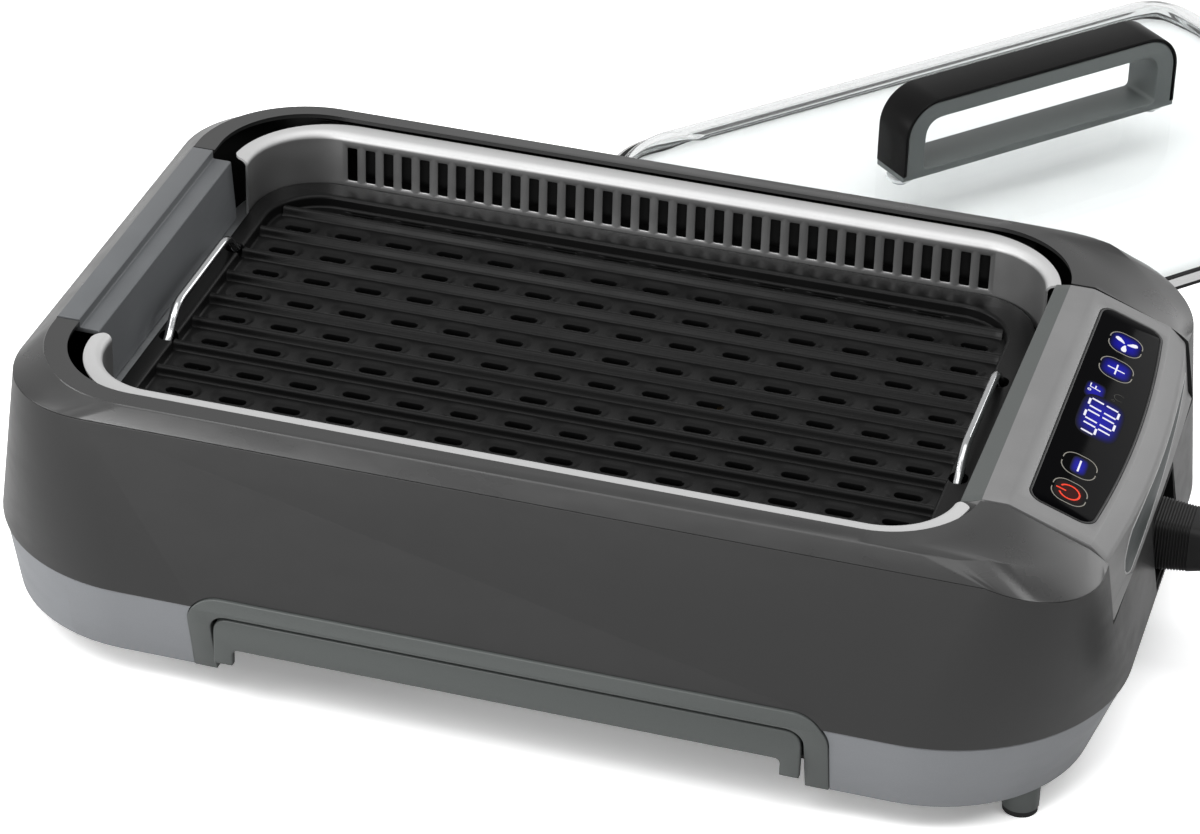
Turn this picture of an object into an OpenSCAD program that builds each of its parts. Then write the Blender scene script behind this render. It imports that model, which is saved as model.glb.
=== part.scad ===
// Electric indoor grill with a lift-off glass lid, millimetres, +Z up.
// Origin: centre of the body's footprint on the table. +X points to the
// control panel and the power inlet, +Y to the rear vent wall.

/* [Body] */
// Length of the body at the bottom of the dark band
body_l = 553; // [540:1:570]
// Depth of the body at the bottom of the dark band
body_d = 336; // [330:1:350]
// Height of the flat rim above the table
body_h = 152; // [150:0.5:158]
// Height of the seam between the base and the dark band
seam_z = 57; // [55:0.5:59]
// Height of the underside of the base
base_z = 17; // [14:0.5:19]
// Wall of the moulded shells
wall = 2.4; // [2:0.1:3]
// Corner radius of the band, left end
band_r_left = 87; // [80:1:92]
// Corner radius of the band, control end
band_r_right = 92; // [86:1:98]
// How far the band leans in at its top, left end
lean_left = 17; // [14:0.5:18]
// How far the band leans in at its top, control end
lean_right = 12; // [10:0.5:13]
// How far the band leans in at its top, front and rear
lean_side = 11.5; // [10:0.5:12]
// How far the base tapers in at its underside, left end
taper_left = 5.5; // [4:0.5:8]
// How far the base tapers in at its underside, control end
taper_right = 15.5; // [12:0.5:17]
// How far the base tapers in at its underside, front and rear
taper_side = 11; // [9:0.5:12]

/* [Top rim] */
// Height of the chamfer round the rim
chamfer_h = 9.5; // [8:0.5:10]
// Width of the chamfer, left end
chamfer_left = 11; // [9:0.5:12]
// Width of the chamfer, front and rear
chamfer_side = 4; // [3:0.5:5]
// Width of the flat rim, left end and front
rim_w = 12; // [11:0.5:12.5]
// Width of the flat rim at the rear
rim_w_rear = 8.3; // [8:0.1:9]
// Fall of the rim per millimetre of length, at the control end
rim_slope = 0.371; // [0.34:0.01:0.38]

/* [Silver trim] */
// Distance from the band's widest line to the trim's wall, left end
trim_left = 57.1; // [56:0.1:59]
// Distance from the band's widest line to the trim's wall, control end
trim_right = 84.1; // [83:0.1:86]
// Distance from the band's widest line to the trim's wall, front and rear
trim_side = 35.8; // [35:0.1:37]
// Width of the trim's top flange, front and rear
flange_w = 10.8; // [10:0.1:11]
// Sheet thickness of the trim and of the heat shield tub
sheet = 1.2; // [1:0.1:1.5]
// Number of smoke slots in the rear wall
slot_count = 35; // [20:1:36]
// Pitch of the smoke slots
slot_pitch = 9.8; // [9.2:0.1:10]
// Width of a smoke slot
slot_w = 5.2; // [4:0.1:6]
// Height of a smoke slot
slot_h = 19.4; // [14:0.2:21]

/* [End pieces] */
// Length of the left end cap along the depth of the grill
cap_w = 176.2; // [160:1:184]
// Length of the control housing along the depth of the grill
console_w = 200.4; // [196:0.2:204]
// Outward bow of the control housing's outer edges
console_bow = 5.6; // [3:0.1:6]
// Length of the control glass
glass_l = 168; // [164:1:171]
// Width of the control glass
glass_w = 32.6; // [30:0.2:34]
// Thickness of the control glass
glass_t = 1.5; // [1:0.1:1.6]

/* [Grill plate] */
// Height of the plate's border above the table
plate_z = 119.5; // [118:0.5:121]
// Thickness of the plate's border
plate_t = 5; // [4:0.5:6]
// Depth of the cooking zone below the border
zone_deep = 6.5; // [5:0.5:7]
// Height of the searing ribs above the zone's floor
rib_h = 4; // [3:0.5:5]
// Pitch of the searing ribs
rib_pitch = 23.7; // [22:0.1:25]
// Width of a searing rib
rib_w = 4; // [3:0.5:5]
// Length of a drain slot
drain_l = 13.5; // [10:0.5:16]
// Width of a drain slot
drain_w = 4.6; // [4:0.2:6]
// Diameter of the bail wire
bail_d = 4.6; // [4:0.1:5]
// Height of a bail's top above the border
bail_h = 13.5; // [10:0.5:16]

/* [Drip tray] */
// Width of the tray bay between its side faces
bay_w = 287; // [270:1:290]
// Width of the frame round the tray front
frame_w = 11.5; // [9:0.5:13]
// Height of the frame above the base's seam
frame_rise = 7.6; // [6:0.2:9]
// Height of the tray front's lower edge above the underside
tray_lift = 9; // [8:0.5:10]
// Height of the finger notch in the tray front
notch_h = 9; // [7:0.5:11]
// Running gap round the tray
tray_gap = 1; // [0.6:0.1:1.4]

/* [Legs] */
// Diameter of a leg
leg_d = 17.5; // [15:0.5:18]
// Thickness of a foot pad
pad_t = 3; // [2:0.5:4]

/* [Lid] */
// Length of the lid over its steel rim
lid_l = 432; // [426:1:434]
// Depth of the lid over its steel rim
lid_d = 282; // [278:1:283]
// Corner radius of the lid
lid_r = 48.5; // [44:0.5:52]
// Height of the steel rim
lid_rim_h = 7; // [6:0.5:9]
// Height of the glass top above the lid's lower edge
lid_h = 32.5; // [28:0.5:36]
// Thickness of the lid glass
lid_t = 4; // [3:0.5:5]
// Length of the handle at its foot
handle_l = 192; // [180:1:205]
// Height of the handle above the glass
handle_h = 48; // [44:1:54]
// Depth of the handle
handle_d = 27; // [24:0.5:30]

/* [Fan and wiring] */
// Radius of the fan impeller
fan_r = 23; // [20:0.5:24]
// Diameter of the fan motor's shaft
shaft_d = 3.2; // [3:0.1:4]
// Radial running clearance at a shaft or pin
run_gap = 0.05; // [0.02:0.01:0.1]
// Diameter of an inlet pin
pin_d = 4; // [3.5:0.1:4.5]
// Diameter of the power cord
cord_d = 7.2; // [6.5:0.1:8]

/* [Hidden] */
$fn = 48;

seat = 0.3;                 // resting gap between seated pieces
seam = 0.5;                 // visible gap between the outer mouldings
corner_n = 12;              // steps round a shell's corner
xl = -body_l / 2;
xr = body_l / 2;
yh = body_d / 2;
over = 5;                   // how far a cutter runs past what it cuts

// Heights of the stack
rim_seam_z = body_h - chamfer_h;
flange_z = body_h - 3.4;
border_under = plate_z - plate_t;
tub_top = border_under - seat;
deck_t = 2.4;
deck_under = seam_z - deck_t;
tub_floor = seam_z + seat;

// Plan of the trim's wall: left, control end, front and rear
wx0 = xl + trim_left;
wx1 = xr - trim_right;
wy = yh - trim_side;
w_r = 36;
tub_g = 5;                  // gap between the plate's pan and the tub
tub_wing = 2.8;             // how far the tub's flange reaches past the trim's wall

// Control housing
con_h = console_w / 2;
con_top_x = xr - 72;        // inner top edge
con_flat = 11.6;            // flat strip before the slope
con_fall = 0.36;            // fall of the sloping face per millimetre
con_slope_x = con_top_x + con_flat;
con_deg = atan(con_fall);
con_end_x = xr - 21.5;      // slope's outer edge at the ends
con_bevel = [8, 7.5];       // outer bevel's width and fall
con_low_z = 99.3;           // lower edge on the band
con_side_z = con_low_z + 4.3;
con_skin = 2.8;
con_in_x = con_top_x - 15;  // foot of the inner face
glass_x = 6.6;              // glass edge down the slope from its top
glass_y = 2;                // glass centre along the depth

// Power inlet in the control end
inlet_y = 12;
inlet_z = 77;
inlet_y0 = -12;
inlet_y1 = 45;
inlet_z0 = seam_z + 2.5;
inlet_z1 = con_low_z - 2.5;
inlet_back = xr - 36;
pin_l = 14;
pin_spots = [[-6.5, 0], [6.5, 0], [0, 5]];
con_body = [30, 28];        // connector body's width and height

// Fan in the rear corner of the control end
fan_x = xr - 60;
fan_y = 99;
fan_z0 = tub_floor;
scroll_r = fan_r + 6;
scroll_h = 24;
scroll_wall = 1.6;

// Cooking plate
zone_x0 = wx0 + 10.4;
zone_x1 = wx1 - 16;
zone_y = wy - 14.4;
zone_r = 28;
zone_floor = plate_z - zone_deep;
pan_wall = 3;
pan_under = zone_floor - 4;
rib_y0 = 10.3;              // the middle rib's place
rib_rows = [-5:4];
drain_pitch = 27.25;
drain_cols = 14;
bail_y = 7.5;               // centre of both bails
bail_foot = 47;             // half the distance between a bail's feet
bail_lean = 12;             // how far each leg leans in
bail_x_left = wx0 + 7;
bail_x_right = wx1 - 10.8;
bail_z = plate_z - 2.9;     // bail pivot height
bail_slot = 4.6;            // half length of a bail's slot
bend_swell = 0.1;           // the wire swells a little at its bends

// Drip tray
bay = bay_w / 2;
frame_x = bay + frame_w;
frame_top = seam_z + frame_rise;
tray_z = base_z + tray_lift;
tray_top = deck_under - tray_gap;
tray_y0 = -yh + 5.5;        // face of the tray front
tray_back = yh - 32;
rail_t = 2.4;
tray_inset = 1.8;           // the tray is narrower than its front by this much at each side

// Lid as it lies on the table behind the body
lid_place = [115, 463.6, 0];
lid_yaw = 48.5;
lid_seal = 1;               // thickness of the lid's gasket
handle_r = 22;

// Power cord: hand-set route on the table, and its coil
coil_turns = 3.5;
coil_r = 39.6;
coil_at = [392, -32];
coil_rise = 7.3;            // rise of the coil per turn
cord_route = [[328.9, 12, 77], [344, 12, 76], [359, 12.5, 70], [371, 13, 59], [379, 13.5, 45],
  [386, 14, 30], [395, 14, 17], [407, 12, 8], [418, 6, 4.2], [426, -4, 3.7], [430.5, -17, 3.7],
  [431.6, -32, 3.7]];
plug_route = [[352.4, -32, 29.3], [352.5, -17, 27.5], [352.8, -2, 22.5], [353.6, 12, 17],
  [354.8, 26, 13.5], [356, 38, 12.6]];

// One corner arc of an outline
function arc(c, r, a0) = [for (i = [0:corner_n])
  let (a = a0 + 90 * i / corner_n) c + r * [cos(a), sin(a)]];

// Rounded outline with its own edges and corner radii, anticlockwise
function outline(x0, x1, y0, y1, r0, r1) = concat(
  arc([x1 - r1, y1 - r1], r1, 0), arc([x0 + r0, y1 - r0], r0, 90),
  arc([x0 + r0, y0 + r0], r0, 180), arc([x1 - r1, y0 + r1], r1, 270));

// The same outline with equal front and rear, grown outwards by g
function even(x0, x1, y, r0, r1, g = 0) =
  outline(x0 - g, x1 + g, -y - g, y + g, r0 + g, r1 + g);

function lift(pts, z) = [for (p = pts) [p.x, p.y, z]];

// Lifts an outline to z and lets it fall past x0
function lift_fall(pts, z, x0, k) = [for (p = pts) [p.x, p.y, z - k * max(0, p.x - x0)]];

// Outlines of the outer shells, g grown outwards
function base_foot(g = 0) = even(xl + taper_left, xr - taper_right, yh - taper_side,
  79, 77, g);
function band_foot(g = 0) = even(xl, xr, yh, band_r_left, band_r_right, g);
fall_x = con_slope_x;
function band_head(g = 0) = lift_fall(even(xl + lean_left, xr - lean_right, yh - lean_side,
  50, 46, g), rim_seam_z, fall_x + 2, 0.72 * rim_slope);
function rim_edge(g = 0, dz = 0) = lift_fall(even(xl + lean_left + chamfer_left, xr - 19.2,
  yh - lean_side - chamfer_side, 60, 70, g), body_h + dz, fall_x, rim_slope);

// Outline of the flat rim's outer and inner edges
rim_x0 = xl + lean_left + chamfer_left;
rim_y = yh - lean_side - chamfer_side;
ring_out = outline(rim_x0 + 0.6, con_slope_x + 0.4, -rim_y + 0.6, rim_y - 0.6, 58, 58);
function ring_in(g) = outline(rim_x0 + rim_w - 0.5 - g, con_top_x + 0.5 + g,
  -rim_y + rim_w - g, rim_y - rim_w_rear + g, 47 + g, 47 + g);

// Closed solid whose skin runs through a loop of equal rings
module ring_loop(rings) {
  n = len(rings[0]);
  m = len(rings);
  polyhedron(points = [for (r = rings) each r], faces = [for (k = [0:m - 1], i = [0:n - 1])
    let (a = k * n + i, b = k * n + (i + 1) % n, c = ((k + 1) % m) * n + (i + 1) % n,
      d = ((k + 1) % m) * n + i) each [[a, c, b], [a, d, c]]]);
}

// Solid through a stack of equal rings, closed flat at both ends
module ring_stack(rings) {
  n = len(rings[0]);
  m = len(rings);
  polyhedron(points = [for (r = rings) each r], faces = concat(
    [[for (i = [0:n - 1]) i]], [[for (i = [n - 1:-1:0]) (m - 1) * n + i]],
    [for (k = [0:m - 2], i = [0:n - 1])
      let (a = k * n + i, b = k * n + (i + 1) % n, c = b + n, d = a + n)
      each [[a, c, b], [a, d, c]]]));
}

// Box between two corners
module block(a, b) {
  translate(a) cube(b - a);
}

// Flat rounded rectangle of exact arcs
module round_rect(x0, x1, y0, y1, r) {
  translate([x0 + r, y0]) square([x1 - x0 - 2 * r, y1 - y0]);
  translate([x0, y0 + r]) square([x1 - x0, y1 - y0 - 2 * r]);
  for (x = [x0 + r, x1 - r], y = [y0 + r, y1 - r]) translate([x, y]) circle(r);
}

// Extrudes a drawing made in the XZ plane from y0 to y1
module along_y(y0, y1) {
  translate([0, y1, 0]) rotate([90, 0, 0]) linear_extrude(y1 - y0) children();
}

// Extrudes a drawing made in the YZ plane from x0 to x1
module along_x(x0, x1) {
  translate([x0, 0, 0]) rotate([90, 0, 90]) linear_extrude(x1 - x0) children();
}

// Arch shape of the tray bay: half width w, top height z, grown by g
module arch(w, z, r, g = 0) {
  round_rect(-w - g, w + g, base_z - 30, z + g, r + g);
}

// ---- Base ----

screw_spots = [[xl + 76.5, 110], [xl + 76.5, -110], [-60, yh - 19], [60, yh - 19],
  [xr - 76.5, -112], [xr - 33.5, 35]];
board_x = xr - 73.5;
board_spots = [for (dx = [5, 45], y = [-86, -32]) [board_x + dx, y]];

module base_shell() {
  color("#7c7e80") difference() {
    union() {
      ring_loop([lift(base_foot(), base_z), lift(band_foot(-1), seam_z),
        lift(band_foot(-1 - wall), seam_z), lift(base_foot(-wall), base_z)]);
      translate([0, 0, deck_under]) linear_extrude(deck_t) polygon(band_foot(-2.4));
      for (s = [-1, 1]) {
        block([s > 0 ? bay + tray_gap : -bay - tray_gap - rail_t, -yh + 14, base_z + 1],
          [s > 0 ? bay + tray_gap + rail_t : -bay - tray_gap, tray_back + rail_t, seam_z]);
        block([s > 0 ? bay - 8 : -bay - tray_gap - 0.5, -yh + 22, tray_z - seat - 2.4],
          [s > 0 ? bay + tray_gap + 0.5 : -bay + 8, tray_back, tray_z - seat]);
      }
      block([-bay - tray_gap, tray_back, base_z + 1], [bay + tray_gap, tray_back + rail_t, seam_z]);
      for (p = screw_spots) translate([p.x, p.y, base_z + 2.6])
        cylinder(d = 10, h = seam_z - base_z - 4);
      for (p = board_spots) translate([p.x, p.y, deck_under]) cylinder(d = 7, h = 7);
    }
    along_y(-yh - over, -yh + 20) arch(frame_x, frame_top, 17.5, seat);
    block([-bay + 6, 4 - zone_y, deck_under - 1], [bay - 6, zone_y - 4, seam_z + 1]);
    for (p = screw_spots) translate([p.x, p.y, base_z + 1]) cylinder(r = 2, h = 24);
    translate([fan_x, fan_y, deck_under - 1]) cylinder(r = 9, h = 5);
    block([fan_x + 4, fan_y - 48, deck_under - 1], [fan_x + 26, fan_y - 33, seam_z + 1]);
  }
}

module bottom_cover() {
  z0 = base_z + 0.2;
  color("#3a3c3e") difference() {
    translate([0, 0, z0]) linear_extrude(2.2) difference() {
      polygon(base_foot(-wall - 1));
      translate([-bay - tray_gap - rail_t - 1, -yh]) square([2 * (bay + tray_gap + rail_t + 1),
        yh + tray_back + rail_t + 1]);
      translate([-frame_x - 1, -yh]) square([2 * frame_x + 2, 20]);
    }
    for (p = screw_spots) translate([p.x, p.y, z0 - 1]) cylinder(r = 2.3, h = 5);
    for (p = leg_spots) translate([p.x, p.y, z0 - 1]) cylinder(r = 4.3, h = 5);
    for (i = [0:5]) block([fan_x - 8, fan_y - 56 + 6 * i, z0 - 1],
      [fan_x + 26, fan_y - 53 + 6 * i, z0 + 5]);
  }
}

leg_spots = [[xr - 39, -yh + 49], [xr - 39, yh - 49], [xl + 37.5, -yh + 63], [xl + 37.5, yh - 63]];

module legs() {
  color("#808284") for (p = leg_spots) translate([p.x, p.y, 0]) {
    translate([0, 0, pad_t]) cylinder(d = leg_d, h = base_z - pad_t - 0.1);
    translate([0, 0, base_z - 1]) cylinder(d = 8, h = 5);
  }
}

module foot_pads() {
  color("#1c1c1c") for (p = leg_spots) translate([p.x, p.y, 0]) cylinder(d = leg_d - 0.8, h = pad_t);
}

module base_screws() {
  color("#9a9a9a") for (p = screw_spots) translate([p.x, p.y, base_z]) difference() {
    union() {
      translate([0, 0, -2]) cylinder(d = 7.6, h = 2.1);
      cylinder(d = 3.8, h = 18);
    }
    translate([0, 0, -2.1]) cylinder(d = 3, h = 1.2, $fn = 6);
  }
}

// ---- Tray bay frame, and the pieces of the drawer ----

module tray_frame() {
  color("#5f6261") intersection() {
    ring_stack([lift(base_foot(0.5), base_z), lift(band_foot(0.5), seam_z),
      lift(band_foot(0.5), frame_top + 1)]);
    difference() {
      along_y(-yh - 2, -yh + 15) difference() {
        arch(frame_x, frame_top, 17.5);
        arch(bay, deck_under, 9);
      }
      block([-body_l, -yh + 13, frame_top - 30], [body_l, -yh + 20, frame_top + 1]);
    }
  }
}

module tray_front() {
  w = bay - tray_gap;
  color("#5a5d5c") difference() {
    along_y(tray_y0, tray_y0 + 4) difference() {
      round_rect(-w, w, tray_z - 20, tray_top, 8);
      translate([-w - 1, tray_z - 30]) square([2 * w + 2, 30]);
      translate([-w + 9.5, tray_z - 1]) square([2 * w - 19, notch_h + 1]);
    }
    for (x = [-90, 90]) translate([x, tray_y0 + 5, tray_z + 18]) rotate([90, 0, 0])
      cylinder(r = 1.6, h = 3.5);
  }
}

module drip_tray() {
  w = bay - tray_gap - tray_inset;
  y0 = tray_y0 + 4;
  y1 = tray_back - tray_gap;
  z1 = tray_top - 2;
  color("#2b2b2b") difference() {
    union() {
      block([-w, y0, tray_z + notch_h + 1], [w, y1, z1]);
      block([-w, y0 + 40, tray_z], [w, y1, z1]);
    }
    block([-w + 2.2, y0 + 2.4, tray_z + notch_h + 3.4], [w - 2.2, y1 - 2.2, z1 + 1]);
    block([-w + 2.2, y0 + 42.4, tray_z + 2.4], [w - 2.2, y1 - 2.2, z1 + 1]);
    for (x = [-90, 90]) translate([x, y0 + 3, tray_z + 18]) rotate([90, 0, 0])
      cylinder(r = 1.6, h = 4);
  }
}

// ---- Outer shells ----

module outer_band() {
  color("#3f3f3f") difference() {
    ring_loop([lift(band_foot(), seam_z), band_head(), band_head(-wall),
      lift(band_foot(-wall), seam_z)]);
    along_y(-yh - over, -yh + 20) arch(frame_x, frame_top, 17.5, 0.4);
    block([con_top_x - 20, -con_h - seam, con_low_z - seat], [xr + over, con_h + seam, body_h]);
    along_x(xr - 30, xr + over) inlet_shape(0);
  }
}

// Opening of the power inlet, grown by g
module inlet_shape(g) {
  polygon([[inlet_y0 - g, inlet_z0 - g], [inlet_y1 + g, inlet_z0 - g],
    [inlet_y1 + g, inlet_z1 + g], [inlet_y0 + 5 - g, inlet_z1 + g], [inlet_y0 - g, inlet_z1 - 5 + g]]);
}

module top_rim() {
  lip = body_h - 2.8;
  color("#575757") difference() {
    ring_loop([up(band_head(), 0.3), rim_edge(0, -0.6), lift(ring_out, body_h),
      lift(ring_in(0), body_h), lift(ring_in(0), lip), lift(ring_in(2.2), lip),
      rim_edge(-2.6, -3), up(band_head(-wall), 0.3)]);
    block([con_top_x - 60, -con_h - seam, 0], [xr + over, con_h + seam, body_h + 1]);
    block([rim_x0 + 0.2, -cap_w / 2 - seam, 0], [0, cap_w / 2 + seam, body_h + 1]);
  }
}

// Raises a ring by dz
function up(pts, dz) = [for (p = pts) p + [0, 0, dz]];

module left_end_cap() {
  x0 = rim_x0 + 0.4;
  step = rim_x0 + rim_w - 0.4;
  x1 = xl + trim_left - 7.9;
  low = body_h - 4.3;
  color("#6a6b6d") along_y(-cap_w / 2, cap_w / 2) polygon([[x0, body_h + 0.4],
    [step, body_h + 0.4], [step, low], [x1, low], [x1 + 2.3, plate_z], [x1 + 2.3, tub_top + 0.2],
    [x1 - 0.2, tub_top + 0.2], [x1 - 2, low - 2.4], [step - 2.4, low - 2.4],
    [step - 2.4, body_h - 2.4], [x0, body_h - 2.4]]);
}

// ---- Silver trim round the plate ----

// Outline of the trim's wall, g grown outwards
function trim_wall(g, z) = lift(even(wx0, wx1, wy, w_r, w_r, g), z);

module trim_shell() {
  flange = even(wx0 - 8.1, wx1 + 8.1, wy + flange_w, w_r + 9, w_r + 9);
  under = flange_z - sheet;
  ring_loop([lift(flange, under), lift(flange, flange_z), trim_wall(4, flange_z),
    trim_wall(2.1, flange_z - 0.5), trim_wall(0.6, flange_z - 1.9), trim_wall(0, flange_z - 4),
    trim_wall(0, tub_top + 0.2), trim_wall(sheet, tub_top + 0.2), trim_wall(sheet, flange_z - 4.2),
    trim_wall(sheet + 1, flange_z - 2.4), trim_wall(sheet + 3, under)]);
}

// Region in front of both end pieces
module trim_side_of(s) {
  scale([1, s, 1]) {
    block([xl, cap_w / 2 + 2.9, 0], [0, yh, body_h]);
    block([0, con_h + 1.5, 0], [xr, yh, body_h]);
  }
}

module front_trim() {
  color("#d0d0d0") intersection() {
    trim_shell();
    trim_side_of(-1);
  }
}

slot_mid = (wx0 + wx1) / 2 + 2.5;

module rear_vent_trim() {
  color("#d0d0d0") difference() {
    intersection() {
      trim_shell();
      trim_side_of(1);
    }
    for (i = [0:slot_count - 1]) {
      x = slot_mid + (i - (slot_count - 1) / 2) * slot_pitch;
      block([x - slot_w / 2, wy - 14, plate_z + 1.9], [x + slot_w / 2, wy + 4, plate_z + 1.9 + slot_h]);
    }
  }
}

// ---- Inside: heat shield, heater, sensors ----

tub_x0 = zone_x0 - tub_g;
tub_x1 = zone_x1 + tub_g;
tub_y = zone_y + tub_g;

module heat_shield_tub() {
  color("#a9adb0") difference() {
    union() {
      translate([0, 0, tub_floor]) linear_extrude(tub_top - tub_floor)
        round_rect(tub_x0 - sheet, tub_x1 + sheet, -tub_y - sheet, tub_y + sheet, 30 + sheet);
      translate([0, 0, tub_top - sheet]) linear_extrude(sheet)
        round_rect(wx0 - 10, con_in_x - 0.5, -wy - tub_wing, wy + tub_wing, 38);
    }
    translate([0, 0, tub_floor + sheet]) linear_extrude(tub_top)
      round_rect(tub_x0, tub_x1, -tub_y, tub_y, 30);
    block([-bay + 6, 6 - zone_y, tub_floor - 1], [bay - 6, zone_y - 6, tub_floor + 3]);
    for (y = element_ends) translate([tub_x1 - 2, y, element_z]) rotate([0, 90, 0])
      cylinder(r = element_r + 1, h = 6);
    for (x = [bail_x_left, bail_x_right], s = [-1, 1]) translate([x, bail_y + s * bail_foot, 0])
      block([-6, s > 0 ? -9 : -12.5, bail_z - 7.2], [6, s > 0 ? 12.5 : 9, tub_top + 1]);
    translate([switch_at.x, switch_at.y, tub_top - 3]) cylinder(r = 2, h = 5);
  }
}

element_z = pan_under - 8;
element_r = 4;
element_x0 = zone_x0 + 24;
element_x1 = zone_x1 - 24;
element_rows = [14, 38, 62, 86];
element_ends = [14, 86, -14, -86];

module rod(a, b, r) {
  d = b - a;
  translate(a) rotate([0, acos(d.z / norm(d)), atan2(d.y, d.x)]) cylinder(r = r, h = norm(d));
}

module element_half() {
  out_x = fan_x - 31;
  ends = [out_x, element_x1, element_x1, out_x];
  for (i = [0:3]) rod([element_x0, element_rows[i], element_z],
    [ends[i], element_rows[i], element_z], element_r);
  for (i = [0:2]) {
    mid = (element_rows[i] + element_rows[i + 1]) / 2;
    far = i == 1;
    translate([far ? element_x1 : element_x0, mid, element_z]) rotate([0, 0, far ? -90 : 90])
      rotate_extrude(angle = 180) translate([(element_rows[1] - element_rows[0]) / 2, 0])
        circle(element_r);
  }
}

module heating_element() {
  color("#6e6460") {
    element_half();
    mirror([0, 1, 0]) element_half();
  }
}

bracket_x = [-120, 60];

module element_brackets() {
  low = tub_floor + sheet + 0.2;
  color("#b5b8ba") for (x = bracket_x) difference() {
    union() {
      block([x, 2 - zone_y, element_z - element_r - 4], [x + 3, zone_y - 2, element_z]);
      for (s = [-1, 1]) block([x - 4, s > 0 ? zone_y - 4 : -zone_y - 2, low],
        [x + 7, s > 0 ? zone_y + 2 : 4 - zone_y, element_z - 4]);
    }
    for (y = element_rows, s = [-1, 1]) translate([x - 1, s * y, element_z]) rotate([0, 90, 0])
      cylinder(r = element_r + 0.1, h = 5);
  }
}

module temperature_probe() {
  color("#b08d57") translate([bracket_x[1] + 1.5, 0, 0]) {
    translate([0, 0, element_z]) cylinder(r = 3, h = pan_under - 4.3 - element_z);
    translate([0, 0, pan_under - 4.3]) cylinder(r = 7, h = 4);
  }
}

switch_at = [tub_x1 + sheet + 3.4, -68];

module plate_switch() {
  top = tub_top - sheet;
  color("#2a2a2a") translate([switch_at.x, switch_at.y, 0]) {
    block([-3, -10, top - 16], [2.8, 10, top - 0.2]);
    translate([0, 0, top - 1]) cylinder(r = 1.6, h = sheet + 1 + seat - 0.1);
  }
}

// ---- Smoke fan ----

module duct_space(g) {
  y1 = wy + 18 - g;
  low = scroll_top + seat + g;
  block([wx0 + 33.4 + g, wy + sheet + 0.4 - 3 * g, tub_top + seat + g],
    [fan_x - 38.5 - g, y1, flange_z - 3.6 - g]);
  block([fan_x - 56.5 + g, wy + 5 + g, low], [fan_x - 30.5 - g, y1, tub_top + 2 + g]);
  block([fan_x - 56.5 + g, wy + 5 + g, low], [fan_x - 6.5 - g, y1, con_low_z - 1.7 - g]);
  block([fan_x - 30.5 + g, fan_y - 15 + g, low], [fan_x + 13.5 - g, wy + 13 - g, con_low_z - 1.7 - g]);
}

scroll_top = fan_z0 + scroll_h;

module smoke_duct() {
  color("#4a4d50") difference() {
    duct_space(0);
    duct_space(scroll_wall);
    translate([fan_x, fan_y, scroll_top - 1]) cylinder(r = fan_r - 9, h = 4);
  }
}

module fan_scroll() {
  color("#303234") difference() {
    union() {
      translate([fan_x, fan_y, fan_z0]) cylinder(r = scroll_r, h = scroll_h);
      block([fan_x + 2, fan_y - 50, fan_z0], [fan_x + scroll_r, fan_y, scroll_top]);
    }
    translate([fan_x, fan_y, fan_z0 + scroll_wall]) cylinder(r = scroll_r - scroll_wall,
      h = scroll_h - 2 * scroll_wall);
    block([fan_x + 2 + scroll_wall, fan_y - 50 + scroll_wall, fan_z0 + scroll_wall],
      [fan_x + scroll_r - scroll_wall, fan_y, scroll_top - scroll_wall]);
    block([fan_x + 5, fan_y - 47, fan_z0 - 1], [fan_x + 25, fan_y - 34, fan_z0 + 3]);
    translate([fan_x, fan_y, scroll_top - 3]) cylinder(r = fan_r - 9, h = 5);
    translate([fan_x, fan_y, fan_z0 - 1]) cylinder(r = 7, h = 5);
  }
}

impeller_z = fan_z0 + scroll_wall + 1.2;
impeller_h = scroll_h - 2 * scroll_wall - 2.4;
blade_n = 18;

module fan_impeller() {
  color("#c9ccce") translate([fan_x, fan_y, impeller_z]) difference() {
    union() {
      cylinder(r = fan_r, h = 1.5);
      cylinder(r = 5, h = impeller_h - 4);
      for (i = [0:blade_n - 1]) rotate([0, 0, i * 360 / blade_n]) translate([fan_r - 8, -0.5, 0])
        rotate([0, 0, 25]) cube([7.4, 1, impeller_h]);
    }
    translate([0, 0, -1]) cylinder(d = shaft_d + 2 * run_gap, h = impeller_h + 2);
  }
}

module fan_motor() {
  color("#8d9093") translate([fan_x, fan_y, 0]) {
    translate([0, 0, deck_under - 26]) cylinder(r = 16, h = 26 - seat);
    cylinder_from(deck_under - 1, impeller_z + impeller_h - 5, shaft_d);
  }
}

module cylinder_from(z0, z1, d) {
  translate([0, 0, z0]) cylinder(d = d, h = z1 - z0);
}

// ---- Power and controls ----

module power_board() {
  z = deck_under + 7;
  color("#2f6b3a") {
    block([board_x, -91, z], [board_x + 50, -27, z + 1.6]);
    block([board_x + 5, -80, z + 1.5], [board_x + 21, -60, z + 15]);
    block([board_x + 27, -56, z + 1.5], [board_x + 45, -42, z + 12]);
    translate([board_x + 33, -76, z + 1.5]) cylinder(r = 8, h = 20);
    translate([board_x + 11, -44, z + 1.5]) cylinder(r = 5, h = 12);
  }
}

// Space under the band's outer skin at the control end, g inside it
module under_band(g) {
  along_y(-60, 80) polygon([[inlet_back - 30, seam_z], [xr - g, seam_z],
    [xr - g - lean_right, rim_seam_z], [inlet_back - 30, rim_seam_z]]);
}

module inlet_housing() {
  color("#161616") difference() {
    intersection() {
      along_x(inlet_back, xr) inlet_shape(-0.4);
      under_band(0.8);
    }
    along_x(inlet_back + 2.5, xr + over) inlet_shape(-2.4);
    for (p = pin_spots) translate([inlet_back - 1, inlet_y + p.x, inlet_z + p.y])
      rotate([0, 90, 0]) cylinder(d = pin_d + 0.1, h = 5);
  }
}

module inlet_pins() {
  color("#c8b070") for (p = pin_spots) translate([inlet_back - 6, inlet_y + p.x, inlet_z + p.y])
    rotate([0, 90, 0]) cylinder(d = pin_d, h = 8.5 + pin_l);
}

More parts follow.
